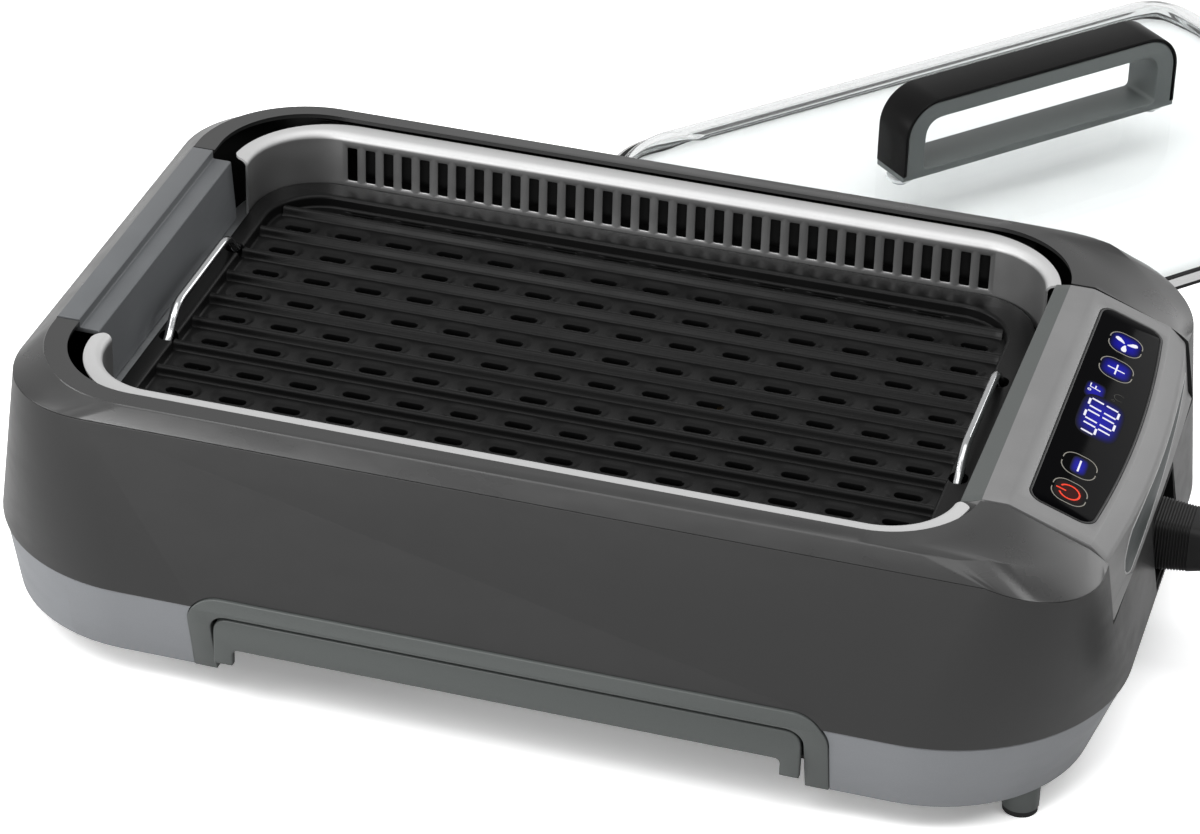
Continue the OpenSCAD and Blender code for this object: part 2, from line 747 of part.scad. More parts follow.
// Section of the control housing at y: outer skin, or the hollow inside it
function con_bulge(y) = 1 - pow(y / con_h, 2);
function con_edge_x(y) = con_end_x + console_bow * con_bulge(y);
function con_edge_z(y) = body_h - con_fall * (con_edge_x(y) - con_slope_x);
function con_side_x(y) = xr - 9.6 + 2.5 * con_bulge(y);
function con_low_x(y) = xr - 6.9 + 1.1 * con_bulge(y);
function con_corner(y) = [con_edge_x(y) + con_bevel[0] + 0.9 * con_bulge(y),
  con_edge_z(y) - con_bevel[1]];
function con_skin_at(y) = [[con_top_x, body_h], [con_slope_x, body_h],
  [con_edge_x(y), con_edge_z(y)], con_corner(y), [con_side_x(y), con_side_z],
  [con_low_x(y), con_low_z], [con_in_x, con_low_z], [con_in_x, plate_z + 0.5]];
function con_hollow_at(y) = let (c = con_corner(y)) [[con_top_x + 1.4, body_h - con_skin],
  [con_slope_x - 0.4, body_h - con_skin], [con_edge_x(y) - 3, con_edge_z(y) - 2.2],
  [c[0] - 3, c[1] - 1.4], [con_side_x(y) - con_skin, con_side_z],
  [con_low_x(y) - con_skin, con_low_z - 2], [con_in_x + con_skin, con_low_z - 2],
  [con_in_x + con_skin, plate_z - 0.5]];
con_n = 16;

// Loft of XZ sections along Y
module section_loft(stations, sections) {
  ring_stack([for (k = [0:len(stations) - 1])
    [for (p = sections[k]) [p[0], stations[k], p[1]]]]);
}

module control_housing() {
  ys = [for (i = [0:con_n]) -con_h + i * console_w / con_n];
  deep = con_h - con_skin;
  yi = [for (i = [0:con_n]) -deep + i * 2 * deep / con_n];
  color("#8c8c8c") difference() {
    section_loft(ys, [for (y = ys) con_skin_at(y)]);
    section_loft(yi, [for (y = yi) con_hollow_at(y)]);
    on_slope() translate([0, 0, 0.1 - glass_t]) linear_extrude(over) glass_shape(0.25);
    on_slope() block([glass_x + 6, -24, -8], [glass_x + 26, 24, over]);
    lens_solid(0.25, 1.7, 3);
  }
}

module on_slope() {
  translate([con_slope_x, glass_y, body_h]) rotate([0, con_deg, 0]) children();
}

module glass_shape(g) {
  round_rect(glass_x - g, glass_x + glass_w + g, -glass_l / 2 - g, glass_l / 2 + g, 7 + g);
}

module control_glass() {
  color("#0a0a0a") on_slope() translate([0, 0, 0.1 - glass_t]) linear_extrude(glass_t)
    glass_shape(0);
}

module display_module() {
  color("#20242c") on_slope()
    block([glass_x + 6.5, -23.5, -4.2], [glass_x + 25.5, 23.5, -glass_t - 0.1]);
}

module control_board() {
  half = glass_l / 2 - 6;
  color("#2f6b3a") on_slope()
    block([glass_x + 1, -half, -5.8], [glass_x + glass_w - 3.6, half, -4.2]);
}

// Dark lens let into the side of the control housing
lens_y0 = -63;
lens_y1 = 92;
lens_n = 14;
lens_half = 11;
function lens_mid(t) = 111 + 6 * t;
function lens_reach(t) = lens_half * min(1, sqrt((t + 0.004) / 0.08))
  * min(1, pow((1.01 - t) / 0.75, 0.8));
function con_wall_x(y, z) = let (c = con_corner(y))
  con_side_x(y) + (c[0] - con_side_x(y)) * (z - con_side_z) / (c[1] - con_side_z);

module lens_solid(g, deep, proud) {
  ts = [for (i = [0:lens_n]) i / lens_n];
  ys = [for (t = ts) lens_y0 - g + t * (lens_y1 - lens_y0 + 2 * g)];
  section_loft(ys, [for (k = [0:lens_n]) let (y = ys[k], t = ts[k], lo = lens_mid(t)
    - lens_reach(t) - g, hi = lens_mid(t) + lens_reach(t) + g)
    [[con_wall_x(y, lo) - deep, lo], [con_wall_x(y, hi) - deep, hi],
    [con_wall_x(y, hi) + proud, hi], [con_wall_x(y, lo) + proud, lo]]]);
}

module side_lens() {
  color("#4d5051") lens_solid(0, 1.4, 0.2);
}

// ---- Grill plate and its bails ----

module zone_shape(g) {
  round_rect(zone_x0 - g, zone_x1 + g, -zone_y - g, zone_y + g, zone_r + g);
}

module grill_plate() {
  rows = concat([for (k = rib_rows) if (rib_y0 + (k - 1) * rib_pitch > -zone_y)
    rib_y0 + (k - 0.5) * rib_pitch], [zone_y - 4.8]);
  color("#2b2b2b") difference() {
    union() {
      translate([0, 0, border_under]) linear_extrude(plate_t) {
        round_rect(wx0 + 0.8, con_in_x - 0.7, 0.8 - wy, wy - 0.8, w_r - 0.8);
        translate([wx0 - 4.6, 2 - cap_w / 2]) square([30, cap_w - 4]);
      }
      translate([0, 0, pan_under]) linear_extrude(border_under - pan_under + 1)
        zone_shape(pan_wall);
      for (x = [bail_x_left, bail_x_right], s = [-1, 1])
        translate([x, bail_y + s * (bail_foot + 7.6), 0])
          block([-4.5, -3.8, bail_z - 5.7], [4.5, 3.8, border_under + 1]);
    }
    difference() {
      translate([0, 0, zone_floor]) linear_extrude(zone_deep + 1) zone_shape(0);
      for (k = rib_rows) translate([0, rib_y0 + k * rib_pitch, 0]) intersection() {
        along_x(zone_x0 - 1, zone_x1 + 1) polygon([[-rib_w / 2 - 0.8, zone_floor - 1],
          [rib_w / 2 + 0.8, zone_floor - 1], [rib_w / 2 - 0.4, zone_floor + rib_h],
          [0.4 - rib_w / 2, zone_floor + rib_h]]);
      }
    }
    for (y = rows, i = [0:drain_cols - 1]) {
      x = zone_x1 - 15.6 - i * drain_pitch;
      if (abs(y) < zone_y - 10 || (i > 0 && i < drain_cols - 1))
        block([x - drain_l / 2, y - drain_w / 2, pan_under - 1],
          [x + drain_l / 2, y + drain_w / 2, zone_floor + 1]);
    }
    for (x = [bail_x_left, bail_x_right], s = [-1, 1]) translate([x, bail_y, 0]) {
      block([-bail_slot, s > 0 ? bail_foot - 7 : -bail_foot - 3.2, bail_z - 3.9],
        [bail_slot, s > 0 ? bail_foot + 3.2 : 7 - bail_foot, plate_z + 1]);
      translate([0, s * (bail_foot + 2), bail_z]) rotate([s * -90, 0, 0])
        cylinder(d = bail_d + 2 * run_gap, h = 12);
    }
  }
}

// A wire bail; its stubs turn in the plate's bosses
module bail(x) {
  r = bail_d / 2;
  top = plate_z + bail_h - r;
  color("#c4c6c8") translate([x, bail_y, 0]) {
    rod([0, bail_lean - bail_foot, top], [0, bail_foot - bail_lean, top], r);
    for (s = [-1, 1]) {
      rod([0, s * bail_foot, bail_z], [0, s * (bail_foot - bail_lean), top], r);
      translate([0, s * (bail_foot - bail_lean), top]) sphere(r + bend_swell);
      translate([0, s * bail_foot, bail_z]) sphere(r + bend_swell);
      translate([0, s * bail_foot, bail_z]) rotate([s * -90, 0, 0]) cylinder(r = r, h = 10.5);
    }
  }
}

module bail_left() {
  bail(bail_x_left);
}

module bail_right() {
  bail(bail_x_right);
}

// ---- Lid, as it lies behind the body ----

module place_lid() {
  translate(lid_place) rotate([0, 0, lid_yaw]) children();
}

// Outline of the lid, g grown outwards, at height z
function lid_out(g, z) = lift(even(-lid_l / 2, lid_l / 2, lid_d / 2, lid_r, lid_r, g), z);

lid_flat = lid_r - 6;
handle_x = handle_l / 2;
post_w = 14;
post_x = handle_x - post_w / 2;
cover_t = 2.2;

module lid_glass() {
  h = lid_h;
  t = lid_t;
  color("#dfe6e8", 0.4) place_lid() difference() {
    ring_stack([lid_out(-lid_flat, h - t), lid_out(-34, h - t - 0.6), lid_out(-23, h - t - 2.6),
      lid_out(-15, h - t - 7), lid_out(-10.5, h - t - 14), lid_out(-9.2, 8), lid_out(-8, 2.1),
      lid_out(-1.2, 2.1), lid_out(-1.2, lid_rim_h - 1.2), lid_out(-5, lid_rim_h - 1.2),
      lid_out(-5.4, 9), lid_out(-6.6, h - 15), lid_out(-11, h - 7.6), lid_out(-20, h - 2.8),
      lid_out(-33, h - 0.5), lid_out(-lid_flat, h)]);
    for (s = [-1, 1]) translate([s * post_x, 0, h - t - 1]) cylinder(r = 3.2, h = t + 2);
  }
}

module lid_rim() {
  z0 = lid_seal;
  z1 = lid_rim_h;
  color("#c2c4c6") place_lid() ring_loop([lid_out(0, z0), lid_out(0, z1 - 0.6),
    lid_out(-0.6, z1), lid_out(-4.4, z1), lid_out(-4.4, z1 - 0.8), lid_out(-0.9, z1 - 0.8),
    lid_out(-0.9, z0 + 0.8), lid_out(-5, z0 + 0.8), lid_out(-5, z0)]);
}

module lid_gasket() {
  color("#1a1a1a") place_lid() ring_loop([lid_out(-0.8, 0), lid_out(-0.8, lid_seal),
    lid_out(-6, lid_seal), lid_out(-6, 0)]);
}

// Arch of the handle in the XZ plane, g grown outwards, open to the glass
module handle_arch(g, low) {
  difference() {
    round_rect(-handle_x - g, handle_x + g, low - 40, lid_h + handle_h + g, handle_r + g);
    translate([-handle_x - over, low - 50]) square([handle_l + 2 * over, 50]);
  }
}

module handle_cover() {
  color("#2b2b2b") place_lid() along_y(-handle_d / 2, handle_d / 2) difference() {
    handle_arch(0, lid_h + 3.2);
    handle_arch(-cover_t, lid_h + 3);
  }
}

module handle_core() {
  g = cover_t + 0.1;
  d = handle_d / 2 - 0.5;
  color("#5b5f5e") place_lid() difference() {
    union() {
      along_y(-d, d) handle_arch(-g, lid_h + 0.1);
      block([-handle_x, -handle_d / 2, lid_h + 0.1], [handle_x, handle_d / 2, lid_h + 3]);
    }
    along_y(-handle_d, handle_d) round_rect(post_w - handle_x, handle_x - post_w,
      lid_h + 5.6, lid_h + handle_h - g - 8, 9);
    for (s = [-1, 1]) translate([s * post_x, 0, lid_h - 1]) cylinder(r = 2.1, h = 22);
  }
}

module handle_screws() {
  low = lid_h - lid_t - 1.6;
  color("#b0b2b4") place_lid() for (s = [-1, 1]) translate([s * post_x, 0, low]) {
    cylinder(r = 2, h = 20);
    translate([0, 0, -2.5]) difference() {
      cylinder(r = 4.5, h = 2.5);
      translate([0, 0, -1]) cylinder(d = 3.4, h = 2.2, $fn = 6);
    }
  }
}

module handle_washers() {
  color("#303030") place_lid() for (s = [-1, 1])
    translate([s * post_x, 0, lid_h - lid_t - 1.6]) difference() {
      cylinder(r = 7.5, h = 1.6);
      translate([0, 0, -1]) cylinder(r = 2.2, h = 4);
    }
}

// ---- Power cord ----

module cord_section(x0, x1, w, h, r) {
  translate([0, inlet_y, inlet_z]) along_x(x0, x1) round_rect(-w / 2, w / 2, -h / 2, h / 2, r);
}

module cord_connector() {
  x0 = inlet_back + 3;
  x1 = xr - 13;
  w = con_body[0];
  h = con_body[1];
  color("#141414") difference() {
    union() {
      cord_section(x0, x1 + 1, 22, 20, 3);
      hull() {
        cord_section(x1, x1 + 1, w, h, 5);
        cord_section(xr + 22, xr + 23, w - 6, h - 6, 6);
      }
      hull() {
        cord_section(xr + 22, xr + 23, w - 6, h - 6, 6);
        cord_section(xr + 30, xr + 31, 14, 14, 6.8);
      }
      translate([xr + 30, inlet_y, inlet_z]) rotate([0, 90, 0]) cylinder(r1 = 6.6, r2 = 4.6, h = 22);
    }
    for (p = pin_spots) translate([x0 - 1, inlet_y + p.x, inlet_z + p.y]) rotate([0, 90, 0])
      cylinder(d = pin_d + 2 * run_gap, h = pin_l + 2);
  }
}

cord_sides = 10;

// Ring of points round the route at point k, square to its direction
function cord_ring(path, k) = let (a = path[max(0, k - 1)], b = path[min(len(path) - 1, k + 1)],
  t = (b - a) / norm(b - a), s = cross([0.2, 0.1, 1], t) / norm(cross([0.2, 0.1, 1], t)),
  u = cross(t, s)) [for (i = [0:cord_sides - 1]) let (q = 360 * i / cord_sides)
  path[k] + cord_d / 2 * (cos(q) * s + sin(q) * u)];

module cord_tube(path) {
  ring_stack([for (k = [0:len(path) - 1]) cord_ring(path, k)]);
}

module power_cord() {
  color("#161616") {
    cord_tube(cord_route);
    cord_tube(plug_route);
  }
}

module cord_coil() {
  color("#161616") translate([coil_at.x, coil_at.y, 0.1]) rotate_extrude()
    translate([coil_r - cord_d / 2, 0]) square([cord_d, coil_turns * coil_rise + cord_d]);
}

module mains_plug() {
  color("#161616") translate(plug_route[len(plug_route) - 1] + [0, seat + 0.2, 0]) {
    rotate([-90, 0, 0]) cylinder(r1 = 4.6, r2 = 8, h = 15);
    hull() {
      along_y(14, 15) round_rect(-9, 9, -9, 9, 5);
      along_y(30, 44) round_rect(-13, 13, -12, 12, 6);
    }
  }
  color("#c8b070") translate(plug_route[len(plug_route) - 1] + [0, seat + 0.2, 0]) {
    for (s = [-1, 1]) block([s * 6.35 - 0.8, 43, -1], [s * 6.35 + 0.8, 61, 5.4]);
    translate([0, 43, -6]) rotate([-90, 0, 0]) cylinder(r = 2.4, h = 20);
  }
}

base_shell();
bottom_cover();
legs();
foot_pads();
base_screws();
tray_frame();
outer_band();
top_rim();
left_end_cap();
front_trim();
rear_vent_trim();
smoke_duct();
heat_shield_tub();
heating_element();
element_brackets();
temperature_probe();
plate_switch();
fan_scroll();
fan_impeller();
fan_motor();
power_board();
inlet_housing();
inlet_pins();
control_housing();
control_glass();
display_module();
control_board();
side_lens();
grill_plate();
bail_left();
bail_right();
drip_tray();
tray_front();
lid_glass();
lid_rim();
lid_gasket();
handle_cover();
handle_core();
handle_screws();
handle_washers();
cord_connector();
power_cord();
cord_coil();
mains_plug();
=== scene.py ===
"""Electric indoor grill with a lift-off glass lid, dressed round its CAD frame."""
import math

import bmesh
import bpy
from bpy.props import FloatProperty, FloatVectorProperty, IntProperty, PointerProperty
from mathutils import Matrix, Vector
from mathutils.geometry import tessellate_polygon


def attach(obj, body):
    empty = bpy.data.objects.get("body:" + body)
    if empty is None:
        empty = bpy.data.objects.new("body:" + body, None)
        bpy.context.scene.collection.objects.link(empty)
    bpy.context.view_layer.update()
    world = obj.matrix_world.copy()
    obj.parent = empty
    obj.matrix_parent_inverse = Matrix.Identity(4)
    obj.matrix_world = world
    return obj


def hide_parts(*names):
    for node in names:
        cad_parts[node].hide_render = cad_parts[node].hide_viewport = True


bl_info = {
    "name": "Indoor grill",
    "version": (1, 0, 0),
    "blender": (4, 5, 0),
    "location": "View3D > Sidebar > Grill",
    "description": "Builds an electric indoor grill with its plate, tray, lid and cord",
    "category": "Object",
}

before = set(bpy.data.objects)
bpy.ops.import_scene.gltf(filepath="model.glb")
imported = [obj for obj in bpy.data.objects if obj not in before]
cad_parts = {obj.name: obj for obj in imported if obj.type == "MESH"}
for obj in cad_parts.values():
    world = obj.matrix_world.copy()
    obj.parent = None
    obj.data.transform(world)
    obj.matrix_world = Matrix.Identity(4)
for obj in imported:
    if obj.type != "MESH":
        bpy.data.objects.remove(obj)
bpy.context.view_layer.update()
MM = 0.001                     # metres in a millimetre
CORNER = 24                    # steps round a shell's corner
FRAME_CORNER = 17.5            # corner radius of the tray bay's frame
PANEL_DOWN, PANEL_Y = 6.6, 1.3  # how far the touch panel lies down the slope, and its middle
LID_PLACE = (115, 463.6, 0)    # middle of the lid's foot
LID_TURN = 48.5                # degrees from the body's length


# ---- Sizes and colours a user would change ----


def length(name, default, text):
    return FloatProperty(name=name, default=default, description=text, unit="LENGTH", min=0.0)


def ink(code):
    """Linear colour of a six-digit screen colour."""
    parts = [((code >> shift) & 255) / 255 for shift in (16, 8, 0)]
    return tuple(c / 12.92 if c <= 0.04045 else ((c + 0.055) / 1.055) ** 2.4 for c in parts)


def colour(name, code, text):
    return FloatVectorProperty(name=name, default=ink(code), description=text, subtype="COLOR",
                               min=0.0, max=1.0)


class GrillSizes(bpy.types.PropertyGroup):
    body_length: length("Body length", 0.553, "Length of the dark band at its foot")
    body_depth: length("Body depth", 0.336, "Depth of the dark band at its foot")
    body_height: length("Body height", 0.152, "Height of the flat rim above the table")
    seam_height: length("Seam height", 0.057, "Height of the seam between base and band")
    base_height: length("Base height", 0.017, "Height of the base's underside")
    rim_width: length("Rim width", 0.012, "Width of the flat rim at the front and the left")
    rim_width_rear: length("Rear rim width", 0.0083, "Width of the flat rim at the rear")
    cap_width: length("Cap length", 0.1762, "Length of the left end cap")
    console_width: length("Console length", 0.2004, "Length of the control housing")
    glass_length: length("Panel length", 0.178, "Length of the touch panel")
    glass_width: length("Panel width", 0.0326, "Width of the touch panel")
    slot_pitch: length("Vent pitch", 0.0098, "Pitch of the smoke slots")
    slot_width: length("Vent width", 0.0052, "Width of a smoke slot")
    plate_height: length("Plate height", 0.1195, "Height of the plate's border")
    rib_pitch: length("Rib pitch", 0.0237, "Pitch of the searing ribs")
    drain_length: length("Drain length", 0.0135, "Length of a drain slot")
    bail_wire: length("Bail wire", 0.0046, "Thickness of the bails' wire")
    bay_width: length("Tray bay", 0.287, "Width of the drip tray's bay")
    lid_length: length("Lid length", 0.432, "Length of the lid")
    lid_depth: length("Lid depth", 0.282, "Depth of the lid")
    lid_height: length("Lid height", 0.0325, "Height of the lid's glass top")
    handle_length: length("Handle length", 0.192, "Length of the lid's handle")
    handle_height: length("Handle height", 0.048, "Height of the handle above the glass")
    handle_depth: length("Handle depth", 0.027, "Depth of the handle")
    cord_diameter: length("Cord diameter", 0.0072, "Diameter of the power cord")
    slot_count: IntProperty(name="Vents", default=35, min=1, max=36,
                            description="Number of smoke slots in the rear wall")


class GrillColours(bpy.types.PropertyGroup):
    band: colour("Band", 0x252525, "Dark outer band")
    rim: colour("Rim", 0x242424, "Rim round the top")
    base: colour("Base", 0x6C6E71, "Base under the band")
    tray_frame: colour("Tray frame", 0x424544, "Frame and front of the drip tray")
    cap: colour("Left cap", 0x585A5C, "Left end cap")
    console: colour("Console", 0x6C6C6C, "Control housing")
    silver: colour("Silver trim", 0xB8B8B8, "Trim round the plate")
    plate: colour("Plate", 0x090909, "Non-stick plate")
    handle_black: colour("Handle cover", 0x101010, "Outer cover of the handle")
    handle_grey: colour("Handle core", 0x5F6463, "Inside of the handle")
    cord: colour("Cord", 0x0B0B0B, "Power cord and its connector")
    glow: colour("Display glow", 0x1414A8, "Light behind the keys and digits")


class Measures:
    """The grill's sizes in millimetres, with the places that follow from them."""

    def __init__(self, s):
        def mm(value):
            return value / MM

        self.xl, self.xr, self.yh = -mm(s.body_length) / 2, mm(s.body_length) / 2, mm(s.body_depth) / 2
        self.top, self.seam, self.base = mm(s.body_height), mm(s.seam_height), mm(s.base_height)
        self.head = self.top - 9.5
        self.wall, self.sheet = 2.4, 1.2
        self.rim_w, self.rim_w_rear = mm(s.rim_width), mm(s.rim_width_rear)
        self.rim_x0, self.rim_y = self.xl + 28, self.yh - 15.5
        self.cap_h, self.con_h = mm(s.cap_width) / 2, mm(s.console_width) / 2
        # control housing
        self.con_top = self.xr - 72
        self.con_slope = self.con_top + 11.6
        self.con_fall = 0.36
        self.con_low = 99.3
        self.con_in = self.con_top - 15
        # touch panel: its sides' distance down the slope and half its length
        self.glass = (PANEL_DOWN, PANEL_DOWN + mm(s.glass_width), mm(s.glass_length) / 2)
        # trim: its wall's left, right, half depth and corner radius
        self.flange = self.top - 3.4
        self.wx0, self.wx1, self.wy, self.wr = self.xl + 57.1, self.xr - 84.1, self.yh - 35.8, 36
        self.slot_pitch, self.slot_w, self.slots = mm(s.slot_pitch), mm(s.slot_width), s.slot_count
        # plate, with its cooking zone measured like the trim's wall
        self.plate = mm(s.plate_height)
        self.border_under = self.plate - 5
        self.tub_top = self.border_under - 0.3
        self.zx0, self.zx1, self.zy, self.zr = self.wx0 + 10.4, self.wx1 - 16, self.wy - 14.4, 28
        self.floor = self.plate - 6.5
        self.pan_under = self.floor - 4
        self.rib_pitch, self.drain = mm(s.rib_pitch), mm(s.drain_length)
        self.rib_y = [10.3 + k * self.rib_pitch for k in range(-5, 5)]
        self.bail_r = mm(s.bail_wire) / 2
        self.bail_x = (self.wx0 + 7, self.wx1 - 10.8)
        self.bail_y, self.bail_foot, self.bail_z = 7.5, 47, self.plate - 2.9
        # tray
        self.bay = mm(s.bay_width) / 2
        self.frame_x, self.frame_top = self.bay + 11.5, self.seam + 7.6
        self.deck = self.seam - 2.4
        self.tray_z = self.base + 9
        # lid
        self.lid_l, self.lid_d, self.lid_h = mm(s.lid_length), mm(s.lid_depth), mm(s.lid_height)
        self.lid_r, self.lid_t, self.lid_rim = 48.5, 4.0, 7.0
        self.handle_x, self.handle_h = mm(s.handle_length) / 2, mm(s.handle_height)
        self.handle_d = mm(s.handle_depth)
        # inlet and cord
        self.inlet = (12.0, 77.0)
        self.inlet_back = self.xr - 36
        self.cord_d = mm(s.cord_diameter)

    # Each outline below is grown outwards by g, and each ring also raised by dz.

    def base_foot(self, g=0):
        """Outline of the base where it ends above the table."""
        return even(self.xl + 5.5, self.xr - 15.5, self.yh - 11, 79, 77, g)

    def band_foot(self, g=0):
        """Outline of the dark band at the seam."""
        return even(self.xl, self.xr, self.yh, 87, 92, g)

    def base_ring(self, t, g=0, dz=0):
        """Ring of the base's wall, t from 0 at its foot to 1 at the seam."""
        ring = part_way(at(self.base_foot(g), self.base), at(self.band_foot(g - 1), self.seam), t)
        return [(x, y, z + dz) for x, y, z in ring]

    def band_head(self, g=0, dz=0):
        """Ring where the band meets the rim, falling past the console's slope."""
        flat = even(self.xl + 17, self.xr - 12, self.yh - 11.5, 50, 46, g)
        return falling(flat, self.head + dz, self.con_slope + 2, 0.267)

    def rim_edge(self, g=0, dz=0):
        """Ring of the rim's outer edge, falling likewise."""
        flat = even(self.rim_x0, self.xr - 19.2, self.rim_y, 60, 70, g)
        return falling(flat, self.top + dz, self.con_slope, 0.371)

    def ring_out(self):
        """Outer outline of the rim's flat top."""
        y = self.rim_y - 0.6
        return plan(self.rim_x0 + 0.6, self.con_slope + 0.4, -y, y, 58, 58)

    def ring_in(self, g=0):
        """Inner outline of the rim's flat top."""
        return plan(self.rim_x0 + self.rim_w - 0.5 - g, self.con_top + 0.5 + g,
                    -self.rim_y + self.rim_w - 1.6 - g, self.rim_y - self.rim_w_rear + g, 47 + g, 47 + g)

    def zone(self, g=0):
        """Outline of the cooking zone."""
        return even(self.zx0, self.zx1, self.zy, self.zr, self.zr, g)

    def lid(self, g=0):
        """Outline of the lid round its own middle."""
        x, y, r = self.lid_l / 2 + g, self.lid_d / 2 + g, max(1.5, self.lid_r + g)
        return plan(-x, x, -y, y, r)

    def bay_cut(self, gap):
        """Cutter for the tray bay's frame, a gap wider than it all round."""
        arch = arch_points(self.frame_x + gap, self.frame_top + gap, FRAME_CORNER, -20)
        return Shape().loft([[(x, y, z) for x, z in arch] for y in (-self.yh - 9, -self.yh + 20)])

    def on_slope(self):
        """Places a drawing on the sloping face of the control housing."""
        return (Matrix.Translation((self.con_slope, PANEL_Y, self.top))
                @ Matrix.Rotation(math.atan(self.con_fall), 4, "Y"))

    def in_place(self):
        """Lays the lid on the table behind the body."""
        return Matrix.Translation(LID_PLACE) @ Matrix.Rotation(math.radians(LID_TURN), 4, "Z")


# ---- Outlines ----

FILLET_SHARE, BEND_SHARE = 0.49, 0.48    # most of a side that a rounded corner may take


def shares(n):
    """Equal steps from 0 to 1."""
    return [k / n for k in range(n + 1)]


def polar(r, degrees):
    a = math.radians(degrees)
    return r * math.cos(a), r * math.sin(a)


def circle(r, n):
    return [(r * math.cos(a), r * math.sin(a)) for a in (2 * math.pi * k / n for k in range(n))]


def quarter(r, steps):
    """Steps of a rounded edge of radius r, as (distance from the face, drop from the top)."""
    return [(r * (1 - math.sin(a)), r * (1 - math.cos(a)))
            for a in (math.pi / 2 * k / steps for k in range(steps + 1))]


def plan(x0, x1, y0, y1, r0, r1=None, n=CORNER):
    """Rounded outline, anticlockwise, with radius r0 at the left and r1 at the right."""
    r1 = r0 if r1 is None else r1
    pts = []
    for cx, cy, r, a in ((x1 - r1, y1 - r1, r1, 0), (x0 + r0, y1 - r0, r0, 90),
                         (x0 + r0, y0 + r0, r0, 180), (x1 - r1, y0 + r1, r1, 270)):
        for i in range(n + 1):
            dx, dy = polar(r, a + 90 * i / n)
            pts.append((cx + dx, cy + dy))
    return pts


def even(x0, x1, y, r0, r1, g=0):
    """Rounded outline, as deep to the front as to the rear, grown by g."""
    return plan(x0 - g, x1 + g, -y - g, y + g, r0 + g, r1 + g)


def oblong(a, b):
    """Outline of a flat box between two opposite corners."""
    return [(a[0], a[1]), (b[0], a[1]), (b[0], b[1]), (a[0], b[1])]


def arch_points(w, z, r, low):
    """Upright outline from low to z, w to each side, with its corners rounded by r."""
    return plan(-w, w, low, z, r, n=10)


def at(pts, z):
    """Lays an outline at a height."""
    return [(p[0], p[1], z) for p in pts]


def falling(pts, z, x0, k):
    """Lifts an outline to z and lets it fall past x0."""
    return [(x, y, z - k * max(0, x - x0)) for x, y in pts]


def part_way(a, b, t):
    """Points a share t of the way from ring a to ring b."""
    return [tuple(u + t * (v - u) for u, v in zip(p, q)) for p, q in zip(a, b)]


def rounded(start, p, end, n):
    """Curve from start to end that turns at p."""
    return [start * (1 - t) ** 2 + p * (2 * t * (1 - t)) + end * t * t for t in shares(n)]


def fillet(poly, radii, n=4):
    """Rounds a polygon's corners, each by its own radius."""
    count = len(poly)
    out = []
    for i, here in enumerate(poly):
        p = Vector(here)
        a, b = Vector(poly[i - 1]) - p, Vector(poly[(i + 1) % count]) - p
        most = FILLET_SHARE * min(a.length, b.length)
        reach = min(radii[i] / math.tan(a.angle(b) / 2), most)
        out += [tuple(q) for q in rounded(p + a.normalized() * reach, p, p + b.normalized() * reach, n)]
    return out


def anticlockwise(poly):
    """The polygon, turned round if it runs clockwise."""
    area = sum(a[0] * b[1] - b[0] * a[1] for a, b in zip(poly, poly[1:] + poly[:1]))
    return poly[::-1] if area < 0 else poly


def inset(poly, d):
    """Moves each side of an anticlockwise polygon inwards by d."""
    count = len(poly)
    out = []
    for i, here in enumerate(poly):
        p = Vector(here)
        a, b = p - Vector(poly[i - 1]), Vector(poly[(i + 1) % count]) - p
        if a.length < 1e-6:
            a = p - Vector(poly[i - 2])
        if b.length < 1e-6:
            b = Vector(poly[(i + 2) % count]) - p
        na, nb = Vector((-a.y, a.x)).normalized(), Vector((-b.y, b.x)).normalized()
        out.append(tuple(p + (na + nb) * (d / max(0.35, 1 + na.dot(nb)))))
    return out


def bend(points, r, n):
    """A path through points with its corners rounded over a reach of r."""
    pts = [Vector(p) for p in points]
    out = [pts[0]]
    for a, p, b in zip(pts, pts[1:], pts[2:]):
        start, end = (p + d.normalized() * min(r, d.length * BEND_SHARE) for d in (a - p, b - p))
        out += rounded(start, p, end, n)
    return out + [pts[-1]]


def flowing(points):
    """A smooth curve through flat points, in four steps to each span."""
    pts = [Vector((*p, 0)) for p in points]
    pts = [2 * pts[0] - pts[1]] + pts + [2 * pts[-1] - pts[-2]]
    out = []
    for a, b, c, d in zip(pts, pts[1:], pts[2:], pts[3:]):
        for t in shares(4)[:-1]:
            out.append(0.5 * (2 * b + (c - a) * t + (2 * a - 5 * b + 4 * c - d) * t * t
                              + (3 * b - a - 3 * c + d) * t ** 3))
    return [(p.x, p.y) for p in out + [pts[-2]]]


# ---- Solids ----


